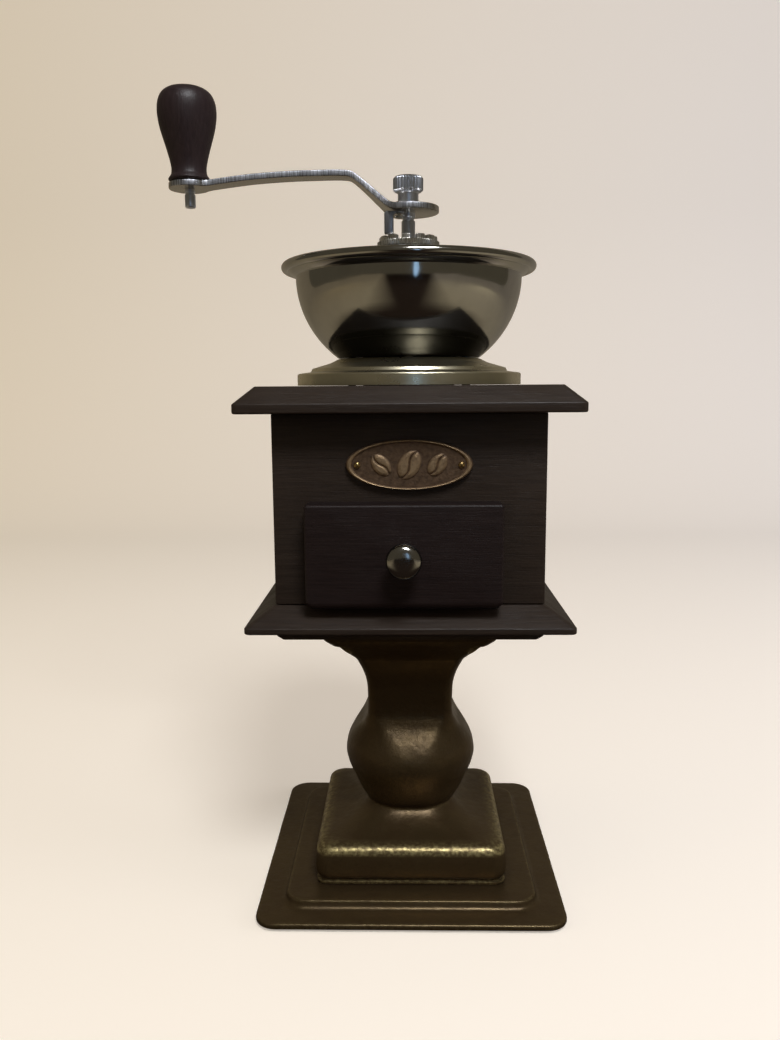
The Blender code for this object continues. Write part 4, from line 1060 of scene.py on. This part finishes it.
def build_gear(finishes):
    """Crown gear: a knurled rim below, then a slightly narrower crown with twelve notches."""
    low, high = span("thrust_washer")
    profile = soft_line(((3.3, low.z, 0.1), (8.0, low.z, 0.2), (8.0, high.z, 0.2), (3.3, high.z, 0.1)), closed=True)
    piece("thrust_washer", turn(profile, SIDES_ROUND, closed=True), finishes["brass"])

    low, high = span("adjusting_gear")
    wide = high.x
    root = low.z + 2.5

    def knurled(radius, z, angle):
        if radius < wide - 0.2:
            return radius
        return radius - 0.34 * abs(math.sin(GEAR_KNURLS * angle / 2.0)) ** 1.5

    profile = soft_line(((3.3, low.z, 0.1), (wide - 0.6, low.z, 0.2), (wide, low.z + 0.5, 0.2), (wide, root, 0.2),
                         (wide - 0.9, root + 0.2, 0.1), (wide - 0.9, high.z - 0.35, 0.2), (wide - 1.2, high.z, 0.1), (8.4, high.z, 0.2), (8.0, root, 0.3), (3.3, root, 0.1)), closed=True)
    leg = span("stopper_leg")
    leg_angle = math.atan2((leg[0].y + leg[1].y) / 2.0, leg[0].x + 2.0)
    notches = []
    for k in range(GEAR_NOTCHES):
        angle = leg_angle + TAU * k / GEAR_NOTCHES
        ux, uy = math.cos(angle), math.sin(angle)
        corners = ((7.4, -1.5), (wide + 2.0, -1.5), (wide + 2.0, 1.5), (7.4, 1.5))
        notches.append(prism([(u * ux - v * uy, u * uy + v * ux) for u, v in corners], "Z", root, high.z + 2.0))
    piece("adjusting_gear", turn(profile, GEAR_KNURLS * 6, closed=True, radius_at=knurled),
          finishes["gear_steel"], tools=notches)


def build_stopper(finishes):
    low, high = span("stopper_leg")
    right = low.x + 4.0
    tab = high.z - 0.9
    outline = ((low.x, low.z), (right, low.z), (right, tab - 0.8), (right + 0.8, tab), (high.x, tab), (high.x, high.z),
               (low.x + 0.8, high.z), (low.x, high.z - 0.8))
    piece("stopper_leg", prism(outline, "Y", low.y, high.y), finishes["leg_steel"], bevel=0.4)
    low, high = span("stopper_rivet")
    spot = ((low.x + high.x) / 2.0, (low.y + high.y) / 2.0)
    reach = high.x - spot[0]
    under, over = low.z + 1.1, high.z - 1.0
    foot = [(reach * math.sin(k * math.pi / 12), under - 1.1 * math.cos(k * math.pi / 12)) for k in range(7)]
    crown = [(reach * math.cos(k * math.pi / 12), over + 1.0 * math.sin(k * math.pi / 12)) for k in range(7)]
    profile = foot + [(0.9, under), (0.9, over)] + crown
    piece("stopper_rivet", turn(profile, 32, spot), finishes["bright_steel"])


# ---------------------------------------------------------------- crank

def half_width(out):
    """Half width of the crank's strap between the disc and the eye."""
    share = min(max((out - DISC_SHARE) / (STRAP_START - DISC_SHARE), 0.0), 1.0)
    disc_side = math.sqrt(DISC_R ** 2 - DISC_SHARE ** 2)
    return disc_side + (STRAP_HALF - disc_side) * share * (2.0 - share)


def arm_side(throw):
    """One side of the crank's plan outline, (distance out, half width), from disc tip to eye tip."""
    side = []
    disc_end = math.acos(DISC_SHARE / DISC_R)
    for k in range(41):
        angle = math.pi + (disc_end - math.pi) * k / 40.0
        side.append((DISC_R * math.cos(angle), DISC_R * math.sin(angle)))
    eye_start = throw - math.sqrt(EYE_R ** 2 - STRAP_HALF ** 2) - 1.6
    count = 190
    for k in range(1, count + 1):
        out = DISC_SHARE + (eye_start - DISC_SHARE) * k / count
        side.append((out, half_width(out)))
    first_angle = math.pi - math.asin(STRAP_HALF / EYE_R) - 0.10
    for k in range(31):
        angle = first_angle * (1.0 - k / 30.0)
        side.append((throw + EYE_R * math.cos(angle), EYE_R * math.sin(angle)))
    return [Vector(p) for p in side]


def build_crank(finishes):
    """One bent plate with rounded edges; its long cut edges keep the marks of the shears."""
    low, high = span("crank_arm")
    disc_z = low.z + ARM_T / 2.0
    grip_low, grip_high = span("grip_screw")
    throw = -(grip_low.x + grip_high.x) / 2.0
    rise = smooth_line(ARM_RISE, 5)
    side = arm_side(throw)
    outline = side + [Vector((p.x, -p.y)) for p in side[-2:0:-1]]
    outline[0].y = 0.0
    count = len(outline)
    edge = []
    for k in range(5):
        angle = math.pi / 2.0 * k / 4.0
        edge.append((ARM_EDGE * (1.0 - math.sin(angle)), -ARM_T / 2.0 + ARM_EDGE * (1.0 - math.cos(angle))))
    edge += [(inset, -height) for inset, height in reversed(edge)]
    rings = []
    for level, (inset, height) in enumerate(edge):
        ring = []
        for i, here in enumerate(outline):
            heading = (outline[(i + 1) % count] - outline[i - 1]).normalized()
            inward = Vector((heading.y, -heading.x))
            marks = 0.05 * noise.noise(Vector((here.x * 2.3, here.y, 7.0))) if 26.0 < here.x < 84.0 else 0.0
            spot = here + inward * (inset + marks)
            slope = math.atan2(along(rise, spot.x + 0.4) - along(rise, spot.x - 0.4), 0.8)
            ring.append((-spot.x + math.sin(slope) * height, spot.y,
                         disc_z + along(rise, spot.x) + math.cos(slope) * height))
        rings.append(ring)
    verts, faces = loft(rings)
    faces = faces[:-2]
    half = count // 2
    for first in (0, (len(rings) - 1) * count):
        for i in range(half):
            a, b = first + i, first + i + 1
            c, d = first + (count - i - 1) % count, first + (count - i) % count
            faces.append(tuple(dict.fromkeys((a, b, c, d))))
    piece("crank_arm", (verts, faces), finishes["crank_steel"])


def build_thumb_nut(finishes):
    """Nut with a fluted head over a plain collar; the spindle ends inside it."""
    low, high = span("thumb_nut")
    wide = high.x
    head = low.z + 5.9

    def fluted(radius, z, angle):
        if radius < 4.9:
            return radius
        return radius - 0.55 * (0.5 + 0.5 * math.cos(NUT_FLUTES * angle)) ** 0.8

    profile = soft_line((
        (0.0, high.z - 0.25, 0.0), (3.6, high.z - 0.15, 0.6), (wide - 1.0, high.z, 0.4), (wide, high.z - 0.9, 0.4),
        (wide, head + 0.7, 0.4), (wide - 0.9, head, 0.3), (4.5, head - 0.5, 0.5), (4.5, low.z, 0.4), (3.3, low.z, 0.1),
        (3.3, high.z - 2.5, 0.2), (0.0, high.z - 2.5, 0.0)), steps=4)
    piece("thumb_nut", turn(profile, NUT_FLUTES * 8, radius_at=fluted), finishes["shaft_steel"])


def build_grip(finishes):
    """Turned wooden grip, and the screw that it spins on below the eye."""
    low, high = span("grip")
    spot = ((low.x + high.x) / 2.0, (low.y + high.y) / 2.0)
    shape = smooth_line((
        (8.4, 0.0), (9.0, 0.7), (8.6, 1.6), (7.8, 2.8), (7.5, 5.0), (7.9, 8.0), (8.9, 12.0), (10.2, 16.5),
        (11.5, 21.0), (12.3, 25.0), (12.6, 29.0), (12.2, 32.5), (10.8, 35.6), (8.2, 37.6), (4.4, 38.35),
        (0.0, 38.5)), 6)
    bore = [(0.0, low.z + 29.0), (1.9, low.z + 29.0), (1.9, low.z), (8.0, low.z)]
    profile = bore + [(r, low.z + up) for r, up in shape]
    piece("grip", turn(profile, SIDES_ROUND, spot), finishes["grip_wood"])

    low, high = span("grip_screw")
    head = low.z + 7.3
    profile = soft_line((
        (0.0, low.z, 0.0), (2.3, low.z, 0.7), (2.3, head - 1.8, 0.2), (1.9, head - 1.5, 0.1), (1.9, head - 1.0, 0.1),
        (2.3, head - 0.7, 0.2), (2.3, head, 0.2), (1.6, head, 0.0), (1.6, high.z, 0.3), (0.0, high.z, 0.0)))
    x, y = spot
    slot = block((x - 3.0, y - 0.4, low.z - 1.0), (x + 3.0, y + 0.4, low.z + 0.9))
    piece("grip_screw", turn(profile, SIDES_SCREW, spot), finishes["shaft_steel"], tools=[slot])


def build_small_parts(finishes):
    """Hidden fixings keep their CAD shapes, with softened edges."""
    for node, kind in (("base_bolt", "dark_steel"), ("base_washer", "dark_steel"),
                       ("pedestal_screw_1", "dark_steel"), ("pedestal_screw_2", "dark_steel"),
                       ("pedestal_screw_3", "dark_steel"), ("pedestal_screw_4", "dark_steel"),
                       ("lower_bracket_screw_left", "dark_steel"),
                       ("lower_bracket_screw_right", "dark_steel")):
        piece(node, cad_solid(node), finishes[kind], bevel=0.2, segments=2)


# ---------------------------------------------------------------- stage, light and camera

def build_stage():
    """Pale floor that sweeps up into a pale wall behind the mill, with painted light: warmer to the left, darker in the
    light it gives back, and in reflections a painted dim room in front and a lit room behind.
    """
    wide = 3000.0
    bend_y = 900.0
    bend_r = 600.0
    line = [(-3000.0, 0.0)]
    for k in range(25):
        angle = math.pi / 2.0 * k / 24.0
        line.append((bend_y + bend_r * math.sin(angle), bend_r * (1.0 - math.cos(angle))))
    line.append((bend_y + bend_r, 2600.0))
    mesh = bpy.data.meshes.new("floor")
    verts = [(x * MM, y * MM, z * MM) for y, z in line for x in (-wide, wide)]
    faces = [(2 * k, 2 * k + 1, 2 * k + 3, 2 * k + 2) for k in range(len(line) - 1)]
    mesh.from_pydata(verts, [], faces)
    mesh.shade_smooth()
    floor = bpy.data.objects.new("floor", mesh)
    bpy.context.scene.collection.objects.link(floor)
    finish = Finish("pale_floor")
    # Painted light: warmer and darker to the left, paler and neutral to the right.
    painted_light_tone = finish.mix(finish.between(finish.part("X"), -900.0, 700.0), (0.745, 0.660, 0.520), (0.790, 0.750, 0.715))
    rays = finish.node("ShaderNodeLightPath")
    # Painted reflection: in mirrors the floor in front of the mill is near black like a dim room, brighter behind and
    # to the sides.
    in_front = finish.between(finish.part("Y"), 250.0, -50.0)
    beyond = finish.between(finish.around(), 290.0, 430.0)
    across = finish.value('ABSOLUTE', finish.part("X"))
    aside = finish.value('ADD', across, finish.value('MULTIPLY', finish.part("Y"), 0.40))
    beyond = finish.value('MULTIPLY', beyond, finish.between(aside, -80.0, 220.0))
    mirrored = finish.mix(in_front, (0.34, 0.29, 0.22), (0.024, 0.017, 0.013))
    mirrored = finish.mix(beyond, mirrored, (0.20, 0.17, 0.10))
    # Painted shade: the light the floor gives back to the mill is much darker than the floor looks.
    shown = finish.mix(rays.outputs["Is Camera Ray"], (0.16, 0.12, 0.085), painted_light_tone)
    shown = finish.mix(rays.outputs["Is Glossy Ray"], shown, mirrored)
    finish.set(colour=shown, roughness=0.85, specular=0.0)
    finish.feed(finish.shader.inputs["Emission Color"], painted_light_tone)
    # The floor glows for the camera, and glows in reflections behind and aside as painted reflection.
    seen_glow = finish.value('MULTIPLY', rays.outputs["Is Camera Ray"], STAGE_GLOW)
    away = finish.value('MAXIMUM', finish.between(in_front, 1.0, 0.0), beyond)
    painted_reflection_glow = finish.value('MULTIPLY', rays.outputs["Is Glossy Ray"],
                               finish.value('MULTIPLY', away, STAGE_MIRROR_GLOW))
    finish.feed(finish.shader.inputs["Emission Strength"], finish.value('ADD', seen_glow, painted_reflection_glow))
    mesh.materials.append(finish.material)


def build_world():
    """Even pale surroundings, darker and warmer behind the camera like the unlit end of a room."""
    world = bpy.data.worlds.new("room")
    bpy.context.scene.world = world
    world.use_nodes = True
    tree = world.node_tree
    tree.nodes.clear()

    def node(kind, inputs=None, **settings):
        made = tree.nodes.new(kind)
        for key, value in settings.items():
            setattr(made, key, value)
        for key, value in (inputs or {}).items():
            if isinstance(value, bpy.types.NodeSocket):
                tree.links.new(value, made.inputs[key])
            else:
                made.inputs[key].default_value = value
        return made

    def mix(share, a, b):
        made = node("ShaderNodeMix", {6: a, 7: b}, data_type='RGBA')
        tree.links.new(share, made.inputs["Factor"])
        return made.outputs[2]

    way = node("ShaderNodeTexCoord").outputs["Generated"]
    split = node("ShaderNodeSeparateXYZ", {0: way})
    rays = node("ShaderNodeLightPath")

    def ramp(axis, low, high):
        return node("ShaderNodeMapRange", {"Value": split.outputs[axis], "From Min": low, "From Max": high}).outputs[0]

    behind = ramp("Y", -0.41, -0.79)
    above = ramp("Z", 0.36, 0.62)
    mirrored = mix(behind, (0.27, 0.225, 0.17, 1.0), (0.36, 0.31, 0.18, 1.0))
    mirrored = mix(above, mirrored, (0.44, 0.38, 0.29, 1.0))
    again = node("ShaderNodeMath", {0: rays.outputs["Ray Depth"], 1: 1.5}, operation='GREATER_THAN').outputs[0]
    mirrored = mix(again, mirrored, (0.16, 0.14, 0.10, 1.0))
    light = mix(rays.outputs["Is Glossy Ray"], (0.72, 0.62, 0.53, 1.0), mirrored)
    seen = mix(rays.outputs["Is Camera Ray"], light, (0.80, 0.74, 0.66, 1.0))
    background = node("ShaderNodeBackground", {"Color": seen, "Strength": ROOM_LIGHT})
    output = node("ShaderNodeOutputWorld")
    tree.links.new(background.outputs[0], output.inputs[0])


def area_light(name, place, aim, size, power, colour, mirrored=True, lit=True, tall=1.0):
    data = bpy.data.lights.new(name, 'AREA')
    data.shape = 'ELLIPSE'
    data.size = size
    data.size_y = size * tall
    data.energy = power
    data.color = colour
    lamp = bpy.data.objects.new(name, data)
    lamp.location = Vector(place) * MM
    toward = (Vector(aim) - Vector(place)).normalized()
    lamp.rotation_mode = 'QUATERNION'
    lamp.rotation_quaternion = toward.to_track_quat('-Z', 'Y')
    lamp.visible_glossy = mirrored
    lamp.visible_diffuse = lit
    bpy.context.scene.collection.objects.link(lamp)


def build_lights():
    """A high key light in front, weak warm and cool fills, and a bluish window that is only mirrored."""
    middle = (0.0, 0.0, 180.0)
    key_way = Vector((0.17, -0.60, 0.78))
    area_light("key", Vector(middle) + key_way * 1250.0, middle, 0.42, 9.5, (0.95, 0.97, 1.0))
    area_light("warm_fill", (-1300.0, -400.0, 500.0), middle, 0.7, 1.6, (1.0, 0.82, 0.58), mirrored=False)
    area_light("side_fill", (1300.0, -200.0, 400.0), middle, 0.7, 5.0, (0.88, 0.90, 1.0), mirrored=False)
    area_light("window", (150.0, -1200.0, 285.0), middle, 0.10, 0.11, (0.36, 0.62, 1.0), lit=False, tall=3.6)


def build_camera():
    pitch, yaw, roll = (math.radians(a) for a in (CAMERA_PITCH, CAMERA_YAW, CAMERA_ROLL))
    ahead = Vector((math.sin(yaw) * math.cos(pitch), math.cos(yaw) * math.cos(pitch), -math.sin(pitch)))
    right = ahead.cross(Vector((0.0, 0.0, 1.0))).normalized()
    down = ahead.cross(right)
    tilted_right = right * math.cos(roll) + down * math.sin(roll)
    tilted_down = down * math.cos(roll) - right * math.sin(roll)
    data = bpy.data.cameras.new("camera")
    data.lens = CAMERA_LENS
    data.sensor_width = 36.0
    data.clip_start = 0.01
    data.clip_end = 50.0
    camera = bpy.data.objects.new("camera", data)
    turn_matrix = Matrix((tilted_right, -tilted_down, -ahead)).transposed()
    camera.matrix_world = Matrix.Translation(Vector(CAMERA_PLACE) * MM) @ turn_matrix.to_4x4()
    bpy.context.scene.collection.objects.link(camera)
    bpy.context.scene.camera = camera
    bpy.context.scene.view_settings.view_transform = 'Standard'


# ---------------------------------------------------------------- the whole scene

def build_mill():
    finishes = make_finishes()
    build_base(finishes)
    build_pedestal(finishes)
    build_boards(finishes)
    build_walls(finishes)
    build_badge(finishes)
    build_drawer(finishes)
    build_foot_ring(finishes)
    build_bowl(finishes)
    build_hopper_screws(finishes)
    build_burrs(finishes)
    build_bridge(finishes)
    build_spring(finishes)
    build_spindle(finishes)
    build_gear(finishes)
    build_stopper(finishes)
    build_crank(finishes)
    build_thumb_nut(finishes)
    build_grip(finishes)
    build_small_parts(finishes)


build_mill()
build_stage()
build_world()
build_lights()
build_camera()
